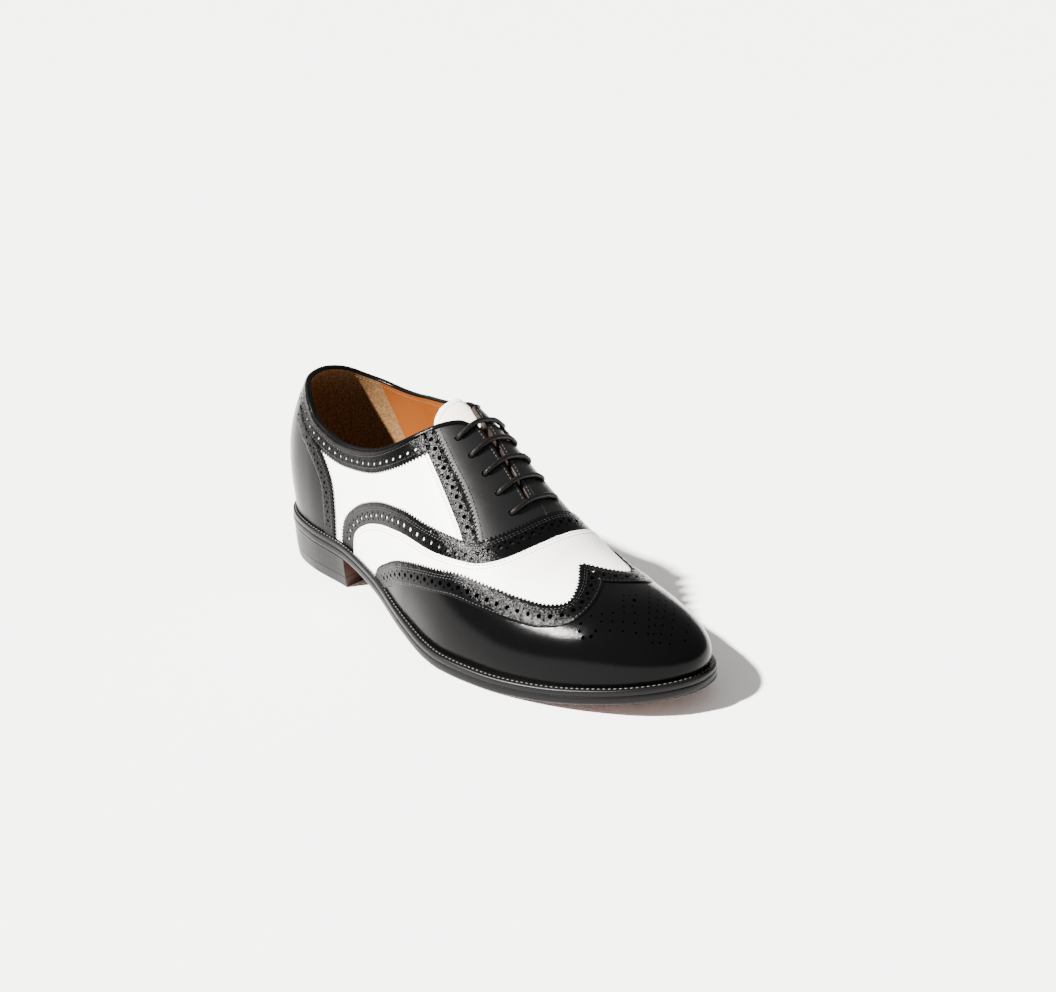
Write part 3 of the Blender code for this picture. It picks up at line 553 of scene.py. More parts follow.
def relief(plan):
    """Height of the creases at rows of (p, q)."""
    total = np.zeros(len(plan))
    for along, around, length, width, depth, turn in CREASES:
        d = plan - (along * SHOE_LENGTH, -around * GIRTH)
        c, s = math.cos(math.radians(turn)), math.sin(math.radians(turn))
        across, run = d[:, 0] * c + d[:, 1] * s, -d[:, 0] * s + d[:, 1] * c
        far = (across / (width * MM)) ** 2
        total += depth * MM * np.exp(-far - (run / (0.5 * length * MM)) ** 2)
    return total


def place(plan, height):
    """Points of the shoe in the row frame."""
    return lift(plan, (height + relief(plan))[:, None]) + SHIFT


def metric(plan):
    """How the plan is stretched at rows of (p, q): the 2 x 2 matrix of squared lengths."""
    p, q = np.asarray(plan, float).T
    h = 0.4 * MM
    a = (on_last(p + h, q) - on_last(p - h, q)) / (2 * h)
    b = (on_last(p, q + h) - on_last(p, q - h)) / (2 * h)
    g = np.empty((len(p), 2, 2))
    g[:, 0, 0], g[:, 1, 1] = (a * a).sum(1), (b * b).sum(1)
    g[:, 0, 1] = g[:, 1, 0] = (a * b).sum(1)
    return g


def even(line, step, closed=False, start=0.0):
    """The line again, as points a true distance of about step apart on the leather."""
    line = np.vstack([line, line[:1]]) if closed else np.asarray(line, float)
    fine = np.vstack([np.linspace(a, b, 5)[:-1] for a, b in zip(line, line[1:])] + [line[-1:]])
    middle_points = (fine[1:] + fine[:-1]) / 2
    d = np.diff(fine, axis=0)
    size = np.sqrt(np.einsum("ni,nij,nj->n", d, metric(middle_points), d))
    run = np.r_[0, np.cumsum(size)]
    count = max(2, round((run[-1] - 2 * start) / step))
    ticks = np.linspace(start, run[-1] - start, count + 1)
    if closed:
        ticks = ticks[:-1]
    return np.c_[np.interp(ticks, run, fine[:, 0]), np.interp(ticks, run, fine[:, 1])]


def beside(line, closed=False):
    """At each point of the line, the step in the plan that is 1 m long and square to it."""
    if closed:
        d = np.roll(line, -1, axis=0) - np.roll(line, 1, axis=0)
    else:
        d = np.gradient(line, axis=0)
    inverse = np.linalg.inv(metric(line))
    w = np.einsum("nij,nj->ni", inverse, np.c_[-d[:, 1], d[:, 0]])
    size = np.sqrt(np.einsum("ni,nij,nj->n", w, np.linalg.inv(inverse), w))
    return w / size[:, None]


def moved(line, distance, closed=False):
    """The line moved sideways over the leather by a true distance, plus to its left."""
    return line + beside(line, closed) * distance


def gimped(line, depth, pitch=2.2 * MM, closed=False):
    """The line cut with small teeth, as pinking does."""
    fine = even(line, pitch / 4, closed)
    wave = np.array([0.0, 0.55, 1.0, 0.55])[np.arange(len(fine)) % 4]
    return fine + beside(fine, closed) * (depth * wave)[:, None]


def ovals(centres, radius, points=10):
    """Round holes about the centres, round on the leather and not in the plan."""
    values, vectors = np.linalg.eigh(metric(centres))
    root = np.einsum("nij,nj,nkj->nik", vectors, values**-0.5, vectors)
    turn = np.linspace(0, 2 * math.pi, points, endpoint=False)
    circle = radius * np.c_[np.cos(turn), np.sin(turn)]
    return [c + circle @ m.T for c, m in zip(centres, root)]


def brogued(line, distance, pitch, big, small, spread):
    """Holes along a line: a big one, then a pair of small ones side by side, and so on."""
    way = even(moved(even(line, 3 * MM), distance), pitch / 2, start=2.5 * MM)
    side = beside(way)
    odd = way[1::2]
    holes = ovals(way[::2], big, 12)
    holes += ovals(odd + side[1::2] * spread, small, 8) + ovals(odd - side[1::2] * spread, small, 8)
    return holes


def linked(name, data):
    """A new object in the scene."""
    item = bpy.data.objects.new(name, data)
    bpy.context.scene.collection.objects.link(item)
    return item


def object_of(name, verts, faces, materials, body="root", angle=40, indices=None):
    """A mesh object that rides on the body; indices gives each face's material."""
    mesh = bpy.data.meshes.new(name)
    mesh.from_pydata([tuple(v) for v in verts], [], faces)
    for material in materials:
        mesh.materials.append(material)
    if indices is not None:
        mesh.polygons.foreach_set("material_index", indices)
    bm = bmesh.new()
    bm.from_mesh(mesh)
    bmesh.ops.remove_doubles(bm, verts=bm.verts, dist=1e-7)
    bmesh.ops.recalc_face_normals(bm, faces=bm.faces)
    bm.to_mesh(mesh)
    bm.free()
    mesh.shade_smooth()
    mesh.set_sharp_from_angle(angle=math.radians(angle))
    item = linked(name, mesh)
    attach(item, body)
    return item


def contains(points, loop, chunk=4000):
    """Which points lie inside the loop, in chunks."""
    parts = [inside(points[i : i + chunk], loop) for i in range(0, len(points), chunk)]
    return np.concatenate(parts) if parts else np.zeros(0, bool)


def sheet_plan(loop, limits, cuts, holes, spacing, soft):
    """Triangles of the plan inside the loop and the limits, outside the cuts and the holes."""
    rims = [loop, *limits, *cuts, *holes]
    first_hole = len(rims) - len(holes)
    rim_points = np.vstack(rims)
    label = np.concatenate([np.full(len(r), i) for i, r in enumerate(rims)])
    tree = kdtree.KDTree(len(rim_points))
    for i, (x, y) in enumerate(rim_points):
        tree.insert((x, y, 0), i)
    tree.balance()

    def within(points):
        keep = contains(points, loop)
        for other in limits:
            keep &= contains(points, other)
        for other in cuts:
            keep &= ~contains(points, other)
        return keep

    def clear(points, gap):
        found = [tree.find((x, y, 0))[2] > gap for x, y in points]
        return points[np.array(found, bool)]

    low, high = loop.min(0), loop.max(0)
    across = np.arange(low[0], high[0], spacing)
    grid = []
    for k, y in enumerate(np.arange(low[1], high[1], spacing * 0.866)):
        grid.append(np.c_[across + (k % 2) * spacing / 2, np.full(len(across), y)])
    grid = np.vstack(grid)
    grid = clear(grid[within(grid)], 0.42 * spacing)
    for line in soft:
        line = even(line, 1.6 * MM, closed=True)
        for d in (-SOFT_RIM, SOFT_RIM):
            near = moved(line, d, closed=True)
            grid = np.vstack([grid, clear(near[within(near)], 0.4 * MM)])
    if len(holes):
        centres = np.array([h.mean(0) for h in holes])
        radii = np.array([np.linalg.norm(h - h.mean(0), axis=1).max() for h in holes])
        kept = []
        for i in range(0, len(grid), 4000):
            part = grid[i : i + 4000]
            hit = (np.linalg.norm(part[:, None] - centres[None], axis=2) < radii * 1.05).any(axis=1)
            kept.append(part[~hit])
        grid = np.vstack(kept)
    points = np.vstack([rim_points, grid])
    edges, first = [], 0
    for r in rims:
        n = len(r)
        edges += [(first + i, first + (i + 1) % n) for i in range(n)]
        first += n
    out, _, faces, origin, _, _ = delaunay_2d_cdt([Vector(p) for p in points], edges, [], 0, 1e-8)
    out = np.array([tuple(p) for p in out])
    faces = np.array([tuple(f) for f in faces])
    full = np.r_[label, np.full(len(grid), -1)]
    of_rim = np.array([full[o[0]] if len(o) else -2 for o in origin])
    tri = of_rim[faces]
    in_hole = (tri[:, 0] == tri[:, 1]) & (tri[:, 1] == tri[:, 2]) & (tri[:, 0] >= first_hole)
    faces = faces[within(out[faces].mean(axis=1)) & ~in_hole]
    edge_vertex = (of_rim >= 0) & (of_rim < first_hole) | (of_rim == -2)
    return out, faces, edge_vertex


SOFT_RIM = 0.55 * MM  # width of the softened edge of each piece
ROUNDED = 0.22 * MM  # how far its rim is turned down
FINE_LOOP = 200
EYELET_HOLE = 1.9 * MM
LACE_RADIUS = 1.4 * MM
HOLE_HEM = -4 * MM  # holes and stitches end this far above the feather line
STITCH_HEM = -2 * MM
FINE_SPACING = 2.4 * MM  # distance of the points inside a piece
FINEST_SPACING = 2.2 * MM
COUNTER_BAND = 1.4 * MM  # height of the counter's band over the last

# The punched rows: from big hole to big hole, the radii, and how far the small ones stand aside
COLLAR_HOLES = dict(pitch=5.4 * MM, big=0.95 * MM, small=0.55 * MM, spread=1.5 * MM)
COUNTER_HOLES = dict(pitch=5.6 * MM, big=0.95 * MM, small=0.55 * MM, spread=1.5 * MM)
SWOOP_HOLES = dict(pitch=6.0 * MM, big=1.2 * MM, small=0.62 * MM, spread=1.75 * MM)
WING_HOLES = dict(pitch=6.0 * MM, big=1.2 * MM, small=0.62 * MM, spread=1.8 * MM)
FACING_HOLES = dict(pitch=6.2 * MM, big=1.25 * MM, small=0.62 * MM, spread=1.8 * MM)


def leather(name, loop, low, high, material, limits=(), cuts=(), holes=(), spacing=2.6 * MM,
            soft=None, lining=None, edge_and_shade=None, shaded_zone=None, rounded=ROUNDED):
    """A piece of leather laid on the last, cut along the loops, with real holes."""
    soft = [loop, *cuts] if soft is None else soft
    plan, faces, rim_vertex = sheet_plan(loop, limits, cuts, holes, spacing, soft)
    used = np.unique(faces)
    remap = np.full(len(plan), -1)
    remap[used] = np.arange(len(used))
    plan, rim_vertex, faces = plan[used], rim_vertex[used], remap[faces]
    n = len(plan)
    pairs = np.vstack([faces[:, [0, 1]], faces[:, [1, 2]], faces[:, [2, 0]]])
    key = np.sort(pairs, axis=1)
    _, index, count = np.unique(key, axis=0, return_index=True, return_counts=True)
    rim = pairs[index[count == 1]]
    top = high(plan) if callable(high) else np.full(n, high)
    bottom = low(plan) if callable(low) else np.full(n, low)
    on_rim = np.zeros(n, bool)
    on_rim[rim.ravel()] = True
    top = top - rounded * (on_rim & rim_vertex)
    verts = np.vstack([place(plan, bottom), place(plan, top)])
    sides = np.c_[rim[:, 0], rim[:, 1], rim[:, 1] + n, rim[:, 0] + n]
    every = faces[:, ::-1].tolist() + (faces + n).tolist() + sides.tolist()
    materials, kinds = [material], None
    if lining is not None:
        materials.append(lining)
        # The third material covers every cut edge, and the top faces within the given zone, where
        # it is painted shade.
        materials.append(edge_and_shade)
        near = contains(plan[faces].mean(axis=1), shaded_zone)
        kinds = [1] * len(faces) + (2 * near).astype(int).tolist() + [2] * len(sides)
    return object_of(name, verts, every, materials, indices=kinds)


def stitch_faces(count):
    """Faces of count stitches, each of five rings of six points."""
    faces = []
    for k in range(count):
        for r in range(4):
            a = k * 30 + r * 6
            faces += [(a + t, a + (t + 1) % 6, a + 6 + (t + 1) % 6, a + 6 + t) for t in range(6)]
    return faces


def threads(name, line, material, height, pitch=2.1 * MM, length=1.55 * MM, width=0.42 * MM,
            rise=0.16 * MM):
    """A row of stitches along a line on the leather."""
    ends = even(line, pitch)
    step = np.gradient(ends, axis=0)
    size = np.sqrt(np.einsum("ni,nij,nj->n", step, metric(ends), step))
    along = step / size[:, None]
    side = beside(ends)
    rings = ((-1.0, 0.0), (-0.72, 0.75), (0.0, 1.0), (0.72, 0.75), (1.0, 0.0))
    turn = np.linspace(0, 2 * math.pi, 6, endpoint=False)
    verts = []
    top = height(ends) if callable(height) else np.full(len(ends), height)
    for r, (a, w) in enumerate(rings):
        for t in turn:
            plan = ends + along * (a * length / 2) + side * (w * width / 2 * math.cos(t))
            verts.append(place(plan, top + rise * w * math.sin(t) - 0.1 * rise))
    verts = np.stack(verts, axis=1).reshape(-1, 3)
    return object_of(name, verts, stitch_faces(len(ends)), [material], angle=80)


def tube(name, points, radius, material, sides):
    """A round cord through the points, in the row frame."""
    points = np.asarray(points, float)
    run = np.gradient(points, axis=0)
    run /= np.linalg.norm(run, axis=1)[:, None]
    guide_axis = np.cross(run[0], [0.3, 0.5, 0.81])
    frames = []
    for t in run:
        guide_axis = guide_axis - t * guide_axis.dot(t)
        guide_axis /= np.linalg.norm(guide_axis)
        frames.append((guide_axis, np.cross(t, guide_axis)))
    radius = np.broadcast_to(radius, len(points))
    turn = np.linspace(0, 2 * math.pi, sides, endpoint=False)
    verts = [p + r * (a * math.cos(t) + b * math.sin(t))
             for p, r, (a, b) in zip(points, radius, frames) for t in turn]
    n = len(points)
    faces = []
    for i in range(n - 1):
        for t in range(sides):
            u, j = (t + 1) % sides, i + 1
            faces.append((i * sides + t, i * sides + u, j * sides + u, j * sides + t))
    faces += [tuple(range(sides))[::-1], tuple((n - 1) * sides + t for t in range(sides))]
    return object_of(name, verts, faces, [material], angle=60)


# ---------------------------------------------------------------- materials
def node(nodes, kind, **values):
    """A new shader node, with the constants of its sockets."""
    made = nodes.new("ShaderNode" + kind)
    for socket, value in values.items():
        made.inputs[socket.replace("_", " ")].default_value = value
    return made


def finish(name, colour, roughness, grain=0.0, grain_size=0.7 * MM, mottle=0.0, spread=0.06,
           specular=0.5):
    """Leather, thread or wax: soft changes of tone and gloss, and a fine grain."""
    material = bpy.data.materials.new(name)
    material.use_nodes = True
    nodes, links = material.node_tree.nodes, material.node_tree.links
    shader = nodes["Principled BSDF"]
    shader.inputs["Base Color"].default_value = (*colour, 1.0)
    shader.inputs["Roughness"].default_value = roughness
    shader.inputs["Specular IOR Level"].default_value = specular
    spot = node(nodes, "TexCoord")
    cloud = node(nodes, "TexNoise", Scale=45.0, Detail=4.0)
    links.new(spot.outputs["Object"], cloud.inputs["Vector"])
    gloss = node(nodes, "MapRange", From_Min=0.3, From_Max=0.7, To_Min=roughness - spread,
                 To_Max=roughness + spread)
    links.new(cloud.outputs["Fac"], gloss.inputs["Value"])
    links.new(gloss.outputs["Result"], shader.inputs["Roughness"])
    if mottle:
        dark = (*(c * (1 - mottle) for c in colour), 1.0)
        light = (*(min(1.0, c * (1 + mottle)) for c in colour), 1.0)
        tone = node(nodes, "MixRGB", Color1=dark, Color2=light)
        links.new(cloud.outputs["Fac"], tone.inputs["Fac"])
        links.new(tone.outputs["Color"], shader.inputs["Base Color"])
    if grain:
        pores = node(nodes, "TexVoronoi", Scale=1.0 / grain_size)
        pores.feature = "DISTANCE_TO_EDGE"
        links.new(spot.outputs["Object"], pores.inputs["Vector"])
        flat = node(nodes, "MapRange", From_Max=0.25)
        links.new(pores.outputs["Distance"], flat.inputs["Value"])
        fine = node(nodes, "TexNoise", Scale=0.6 / grain_size, Detail=3.0)
        links.new(spot.outputs["Object"], fine.inputs["Vector"])
        total = node(nodes, "Math")
        total.operation = "ADD"
        links.new(flat.outputs["Result"], total.inputs[0])
        links.new(fine.outputs["Fac"], total.inputs[1])
        bump = node(nodes, "Bump", Strength=grain, Distance=0.05 * MM)
        links.new(total.outputs["Value"], bump.inputs["Height"])
        links.new(bump.outputs["Normal"], shader.inputs["Normal"])
    return material


BLACK = finish("black_calf", (0.0012, 0.0012, 0.0013), 0.2, grain=0.3, grain_size=0.6 * MM,
               spread=0.03, specular=0.05)
POLISHED = finish("black_polished", (0.0010, 0.0010, 0.0011), 0.15, grain=0.2,
                  grain_size=0.6 * MM, spread=0.025, specular=0.05)
FACING_BLACK = finish("black_facing", (0.0030, 0.0030, 0.0031), 0.36, grain=0.4,
                      grain_size=0.6 * MM, spread=0.04, specular=0.13)
BAND_BLACK = finish("black_band", (0.0012, 0.0012, 0.0013), 0.17, grain=0.5,
                    grain_size=0.5 * MM, spread=0.02, specular=0.042)
WHITE = finish("white_calf", (0.80, 0.795, 0.775), 0.42, grain=0.35, grain_size=0.8 * MM,
               mottle=0.02)
CREAM = finish("cream_tongue", (0.70, 0.68, 0.60), 0.5, grain=0.4, mottle=0.04)
THREAD_BLACK = finish("black_thread", (0.004, 0.004, 0.004), 0.35, specular=0.35)
THREAD_LIGHT = finish("pale_thread", (0.035, 0.032, 0.028), 0.55, specular=0.3)
THREAD_CREAM = finish("cream_thread", (0.12, 0.065, 0.028), 0.6, specular=0.3)
LACE = finish("waxed_lace", (0.0014, 0.0013, 0.0013), 0.4, grain=1.0, grain_size=0.5 * MM,
              specular=0.12)
EDGE = finish("edge_dye", (0.0022, 0.0022, 0.0023), 0.36, grain=0.3, mottle=0.15, specular=0.1)
SOLE_LEATHER = finish("sole_leather", (0.075, 0.026, 0.013), 0.55, grain=0.4, mottle=0.2)
HEEL_EDGE = finish("heel_edge", (0.0036, 0.0031, 0.0030), 0.36, grain=0.3, mottle=0.2,
                   specular=0.09)
HEEL_FRONT = finish("heel_front", (0.030, 0.009, 0.005), 0.5, grain=0.4, mottle=0.25, specular=0.3)
SOCK = finish("tan_sock", (0.16, 0.055, 0.014), 0.5, grain=0.4, mottle=0.06)
# Painted shade: a very dark brown for the narrow gap between the facings. It colours the tongue's
# lower part seen there, the shell's top beside the slit, and the shell's cut edges.
GAP_SHADE_BROWN = finish("gap_shade_brown", (0.012, 0.005, 0.0022), 0.5, grain=0.4, mottle=0.2,
                     specular=0.2)
# Black with no gloss under the holes of the cap and of the facing strips: partly their dark
# underlay, partly painted shade that makes the punched holes read as dark pits.
BLACK_UNDERLAY_SHADE = finish("hole_underlay_shade", (0.001, 0.001, 0.001), 0.9, spread=0.0, specular=0.0)


def lining_finish():
    """Smooth tan leather in front; behind the curved seam, the paler suede of the heel."""
    material = finish("tan_lining", (0.14, 0.036, 0.005), 0.42, grain=0.4, mottle=0.06,
                      specular=0.3)
    nodes, links = material.node_tree.nodes, material.node_tree.links
    tan = nodes["Principled BSDF"]
    suede = node(nodes, "BsdfPrincipled", Roughness=0.95, Specular_IOR_Level=0.05)
    spot = node(nodes, "TexCoord")
    nap = node(nodes, "TexNoise", Scale=1 / (1.3 * MM), Detail=3.0)
    links.new(spot.outputs["Object"], nap.inputs["Vector"])
    spread = node(nodes, "MapRange", From_Min=0.35, From_Max=0.65)
    links.new(nap.outputs["Fac"], spread.inputs["Value"])
    tone = node(nodes, "MixRGB", Color1=SUEDE_DARK, Color2=SUEDE_LIGHT)
    links.new(spread.outputs["Result"], tone.inputs["Fac"])
    links.new(tone.outputs["Color"], suede.inputs["Base Color"])
    axes = node(nodes, "SeparateXYZ")
    links.new(spot.outputs["Object"], axes.inputs["Vector"])

    def maths(operation, first, second):
        made = node(nodes, "Math")
        made.operation = operation
        for socket, value in zip(made.inputs, (first, second)):
            if isinstance(value, float):
                socket.default_value = value
            else:
                links.new(value, socket)
        return made.outputs["Value"]

    below = maths("SUBTRACT", SEAM_HEIGHT, axes.outputs["Z"])
    bend = maths("ADD", maths("MULTIPLY", below, SEAM_BEND), SEAM_LEAN)
    seam = maths("ADD", maths("MULTIPLY", below, bend), SEAM_PLACE + float(SHIFT[0]))
    behind = maths("MULTIPLY", maths("SUBTRACT", seam, axes.outputs["X"]), 1 / (0.3 * MM))
    behind = maths("MINIMUM", maths("MAXIMUM", behind, 0.0), 1.0)
    join = nodes.new("ShaderNodeMixShader")
    links.new(behind, join.inputs[0])
    links.new(tan.outputs["BSDF"], join.inputs[1])
    links.new(suede.outputs["BSDF"], join.inputs[2])
    links.new(join.outputs["Shader"], nodes["Material Output"].inputs["Surface"])
    return material


# The suede's two tones, and the seam between the linings: how far forward it is at one
# height, and its lean and bend below
SUEDE_DARK = (0.085, 0.042, 0.016, 1.0)
SUEDE_LIGHT = (0.17, 0.092, 0.040, 1.0)
SEAM_HEIGHT = 90.7 * MM
SEAM_PLACE = 36.5 * MM
SEAM_LEAN = 0.209
SEAM_BEND = 6.9
LINING = lining_finish()


# ---------------------------------------------------------------- lines on the leather
def both(table, count=90, lean=0.0):
    """An edge from the outer side over the ridge to the inner side."""
    outer, inner = edge(table, -1, count=count), edge(table, 1, count=count)
    for side in (outer, inner):
        side[:, 1] -= lean * smooth(side[:, 0] / SHOE_LENGTH, [0.5, 0.75], [0, 1])
    return np.vstack([outer, inner[-2::-1]])


def hem_loop(spare):
    """The feather line in the unrolled plan, or a line below it."""
    return hem(0, ROUND, spare, 400)[:-1]


def distance(plan, line):
    """How far each row of the plan is from the line's points, in the plan."""
    out = np.empty(len(plan))
    for i in range(0, len(plan), 2000):
        part = plan[i : i + 2000]
        out[i : i + 2000] = np.linalg.norm(part[:, None] - line[None], axis=2).min(axis=1)
    return out


def fade(x, start, end):
    """Rises smoothly from 0 at start to 1 at end."""
    t = np.clip((x - start) / (end - start), 0, 1)
    return t * t * (3 - 2 * t)


def rounded_off(loop, passes):
    """The rim with its small corners smoothed away, apart from its front."""
    share = 0.6 * (1 - fade(loop[:, :1], 95 * MM, 112 * MM))
    for _ in range(passes):
        loop = loop + share * ((np.roll(loop, 1, axis=0) + np.roll(loop, -1, axis=0)) / 2 - loop)
    return loop


RIM = rounded_off(even(collar_loop(0.0, FINE_LOOP), 1.6 * MM, closed=True), 26)
# The inner facing's top corner lies a little further back than the outer one's.
CORNER_STEP = 5 * MM
RIM[:, 0] -= CORNER_STEP * fade(RIM[:, 0], 112 * MM, 132 * MM) * fade(RIM[:, 1], 0.0, 3 * MM)
SLIT = gap_region()
BELOW = hem_loop(1.2 * MM)
FOOT = hem_loop(0.0)
SWOOP_UP = both(SWOOP_TOP)
SWOOP_LOW = both(SWOOP_FOOT)
WING_UP = both(WING, lean=WING_LEAN)
STRIP_RIGHT = columns(
    "along round",
    [
        (0.385, 0.135), (0.450, 0.189), (0.506, 0.232), (0.556, 0.259), (0.599, 0.302),
        (0.640, 0.370),
    ],
)


def rear_of(side, count=60):
    """The rear edge of one facing, carried on below the band."""
    line = edge(FACING, side, count=count)
    line = np.vstack([line, line[-1] + (line[-1] - line[-4])])
    return line


def eyelets(side):
    """Middles of the eyelets of one side."""
    q = -EYELET_OUTER if side < 0 else EYELET_INNER
    return np.c_[np.linspace(EYELET_FIRST, EYELET_LAST, LACE_ROWS), np.full(LACE_ROWS, q)]


# ---------------------------------------------------------------- heights of the layers
BAND = 0.80 * MM


def swoop_height(plan):
    """The band lies on the quarter at the side, and over the facings in front."""
    return BAND + 0.95 * MM * fade(plan[:, 0], 150 * MM, 176 * MM)


def vamp_height(plan):
    """The vamp's edge lies on the band; further on it comes down to the last."""
    near = 1 - fade(distance(plan, SWOOP_LINE), 1 * MM, 16 * MM)
    lift_in_front = 0.85 * MM * fade(plan[:, 0], 150 * MM, 176 * MM)
    return 0.95 * MM + (0.18 * MM + lift_in_front) * near


SWOOP_LINE = even(SWOOP_LOW, 2 * MM)
TEETH = 1.6 * MM
CAP = 1.35 * MM
WING_BAND = 2.0 * MM
STRIP = 1.35 * MM
FACE = 0.75 * MM


# ---------------------------------------------------------------- the upper's base
def upper_shell():
    """The upper's own wall: white outside, lined inside, open at the mouth and the slit; its cut
    edges and its top beside the slit are painted dark brown as shade.
    """
    holes = ovals(eyelets(-1), EYELET_HOLE, 14) + ovals(eyelets(1), EYELET_HOLE, 14)
    item = leather("upper_shell", FOOT, -WALL, 0.0, WHITE, cuts=[RIM, SLIT], holes=holes,
                   spacing=3.2 * MM, soft=[], lining=LINING, edge_and_shade=GAP_SHADE_BROWN,
                   shaded_zone=inset(SLIT, -4 * MM), rounded=0.0)
    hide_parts("upper")
    return item


def opened(line, region):
    """A closed line without its points in the region, from there on round."""
    keep = ~contains(line, region)
    first = int(np.flatnonzero(~keep)[-1]) + 1
    return np.roll(line, -first, axis=0)[np.roll(keep, -first)]


def holes_in(holes, loop):
    """The holes that begin inside the loop."""
    return [h for h in holes if contains(h[:1], loop)[0]]


def holes_out(holes, loop):
    """The holes that begin outside the loop."""
    return [h for h in holes if not contains(h[:1], loop)[0]]


def collar():
    """The perforated band round the mouth, the smooth binding on it and the rolled edge."""
    low = collar_loop(COLLAR_BAND_WIDTH, FINE_LOOP)
    teeth = gimped(low, -TEETH, closed=True)
    front = front_region()
    holes = brogued(collar_loop(6.9 * MM, 160), 0.0, **COLLAR_HOLES)
    holes = holes_out(holes, inset(front, -1.5 * MM))
    band = leather("collar_band_leather", teeth, 0.05 * MM, BAND, BAND_BLACK, cuts=[RIM, front],
                   holes=holes, spacing=FINE_SPACING, soft=[low])
    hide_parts("collar_band")
    run = RIM[:, 0]
    width = np.interp(run, [0, 90 * MM, 125 * MM], [3.4 * MM, 3.2 * MM, 1.7 * MM])
    outer = inset(RIM, -width)
    height = lambda p: 1.12 * MM + 0.42 * MM * fade(p[:, 0], 115 * MM, 130 * MM)
    strip = leather("collar_binding", outer, 0.3 * MM, height, BLACK, cuts=[RIM, SLIT],
                    spacing=2.0 * MM, rounded=0.3 * MM)
    path = even(opened(RIM, inset(SLIT, -0.2 * MM)), 1.6 * MM)
    side = beside(path)
    thick = 1.55 * MM + 0.25 * MM * fade(path[:, 0], 115 * MM, 130 * MM)
    verts, faces = [], []
    turn = np.linspace(0, 2 * math.pi, 12, endpoint=False)
    for t in turn:
        plan = path + side * (0.95 * MM * math.cos(t))
        verts.append(place(plan, -0.55 * MM + thick * math.sin(t)))
    verts = np.stack(verts, axis=1)
    for i in range(len(path) - 1):
        for t in range(12):
            u = (t + 1) % 12
            faces.append((i * 12 + t, i * 12 + u, i * 12 + 12 + u, i * 12 + 12 + t))
    faces += [tuple(range(12)), tuple(range((len(path) - 1) * 12, len(path) * 12))]
    bead = object_of("collar_rolled_edge", verts.reshape(-1, 3), faces, [BLACK], angle=80)
    line = even(inset(RIM, -width - 0.7 * MM), 2.0 * MM, closed=True)
    line = opened(line, inset(front, 0.5 * MM))
    threads("collar_thread", line, THREAD_BLACK, BAND, pitch=2.0 * MM)
    line = even(collar_loop(COLLAR_BAND_WIDTH - 1.3 * MM, FINE_LOOP), 2.0 * MM, closed=True)
    line = opened(line, inset(front, -0.5 * MM))
    threads("collar_lower_thread", line, THREAD_BLACK, BAND, pitch=2.0 * MM)
    line = opened(even(inset(RIM, -2.6 * MM), 2.2 * MM, closed=True), inset(SLIT, -1.0 * MM))
    threads("topline_thread", line, THREAD_CREAM, -WALL - 0.05 * MM)


def row_beside(line, distance):
    """A line at a distance beside another, as far as the stitches reach."""
    row = even(moved(even(line, 2 * MM), distance), 2 * MM)
    return row[contains(row, hem_loop(STITCH_HEM))]


def swoop():
    """The band that sweeps up from the waist, over and down to the front of the lacing."""
    low = moved(SWOOP_LOW, -2.5 * MM)[::-1]
    loop = np.vstack([gimped(SWOOP_UP, TEETH), low])
    holes = brogued(SWOOP_UP, -6.0 * MM, **SWOOP_HOLES)
    holes = holes_in(holes, hem_loop(HOLE_HEM))
    band = leather("swoop_band_leather", loop, 0.05 * MM, swoop_height, BAND_BLACK, limits=[BELOW],
                   holes=holes, spacing=FINE_SPACING, soft=[np.vstack([SWOOP_UP, low])])
    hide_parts("swoop_band")
    for name, d in (("swoop_thread_upper", -1.5 * MM), ("swoop_thread_second", -2.7 * MM)):
        threads(name, row_beside(SWOOP_UP, d), THREAD_BLACK, swoop_height)


def vamp():
    """The white vamp between the band and the toe cap, with its smooth raised edge."""
    loop = np.vstack([SWOOP_LOW, moved(WING_UP, -4 * MM)[::-1]])
    panel = leather("vamp_leather", loop, 0.02 * MM, vamp_height, WHITE, limits=[BELOW],
                    rounded=0.35 * MM)
    for name, d in (("vamp_thread_first", -1.3 * MM), ("vamp_thread_second", -3.1 * MM)):
        threads(name, row_beside(SWOOP_LOW, d), THREAD_CREAM, vamp_height, pitch=2.2 * MM)


# Holes of the toe's ornament: rows from one (p, q) in mm to another, with a count
TOE_ROWS = [
    ((261.5, 14.6), (287.7, -10.8), 10), ((266.7, 17.0), (292.5, -11.9), 9),
    ((274.6, 13.8), (294.6, -8.6), 7), ((281.1, 13.5), (297.5, -4.0), 6),
    ((288.8, 18.7), (299.5, 5.0), 4), ((260.5, -24.4), (275.0, -8.3), 5),
    ((266.5, -23.5), (279.0, -12.6), 4), ((272.8, -24.3), (283.4, -15.5), 3),
    ((262.4, -3.9), (265.6, 1.5), 3), ((265.4, -7.0), (271.0, -6.1), 2),
]
TOE_HOLE = 0.58  # radius of the holes in these rows, in mm
TOE_SINGLES = [
    (268.5, -2.3, 1.15), (268.5, -9.7, 0.55), (263.4, -35.2, 1.0), (266.7, -32.4, 1.0),
    (260.3, -34.0, 0.85), (258.7, -30.7, 0.85), (267.1, -28.9, 0.75),
]


def toe_holes():
    """Middles and sizes of the holes of the toe's ornament."""
    spots = [(p * MM, q * MM, r) for p, q, r in TOE_SINGLES]
    for start, end, count in TOE_ROWS:
        for p, q in np.linspace(start, end, count):
            spots.append((p * MM, q * MM, TOE_HOLE))
    return spots


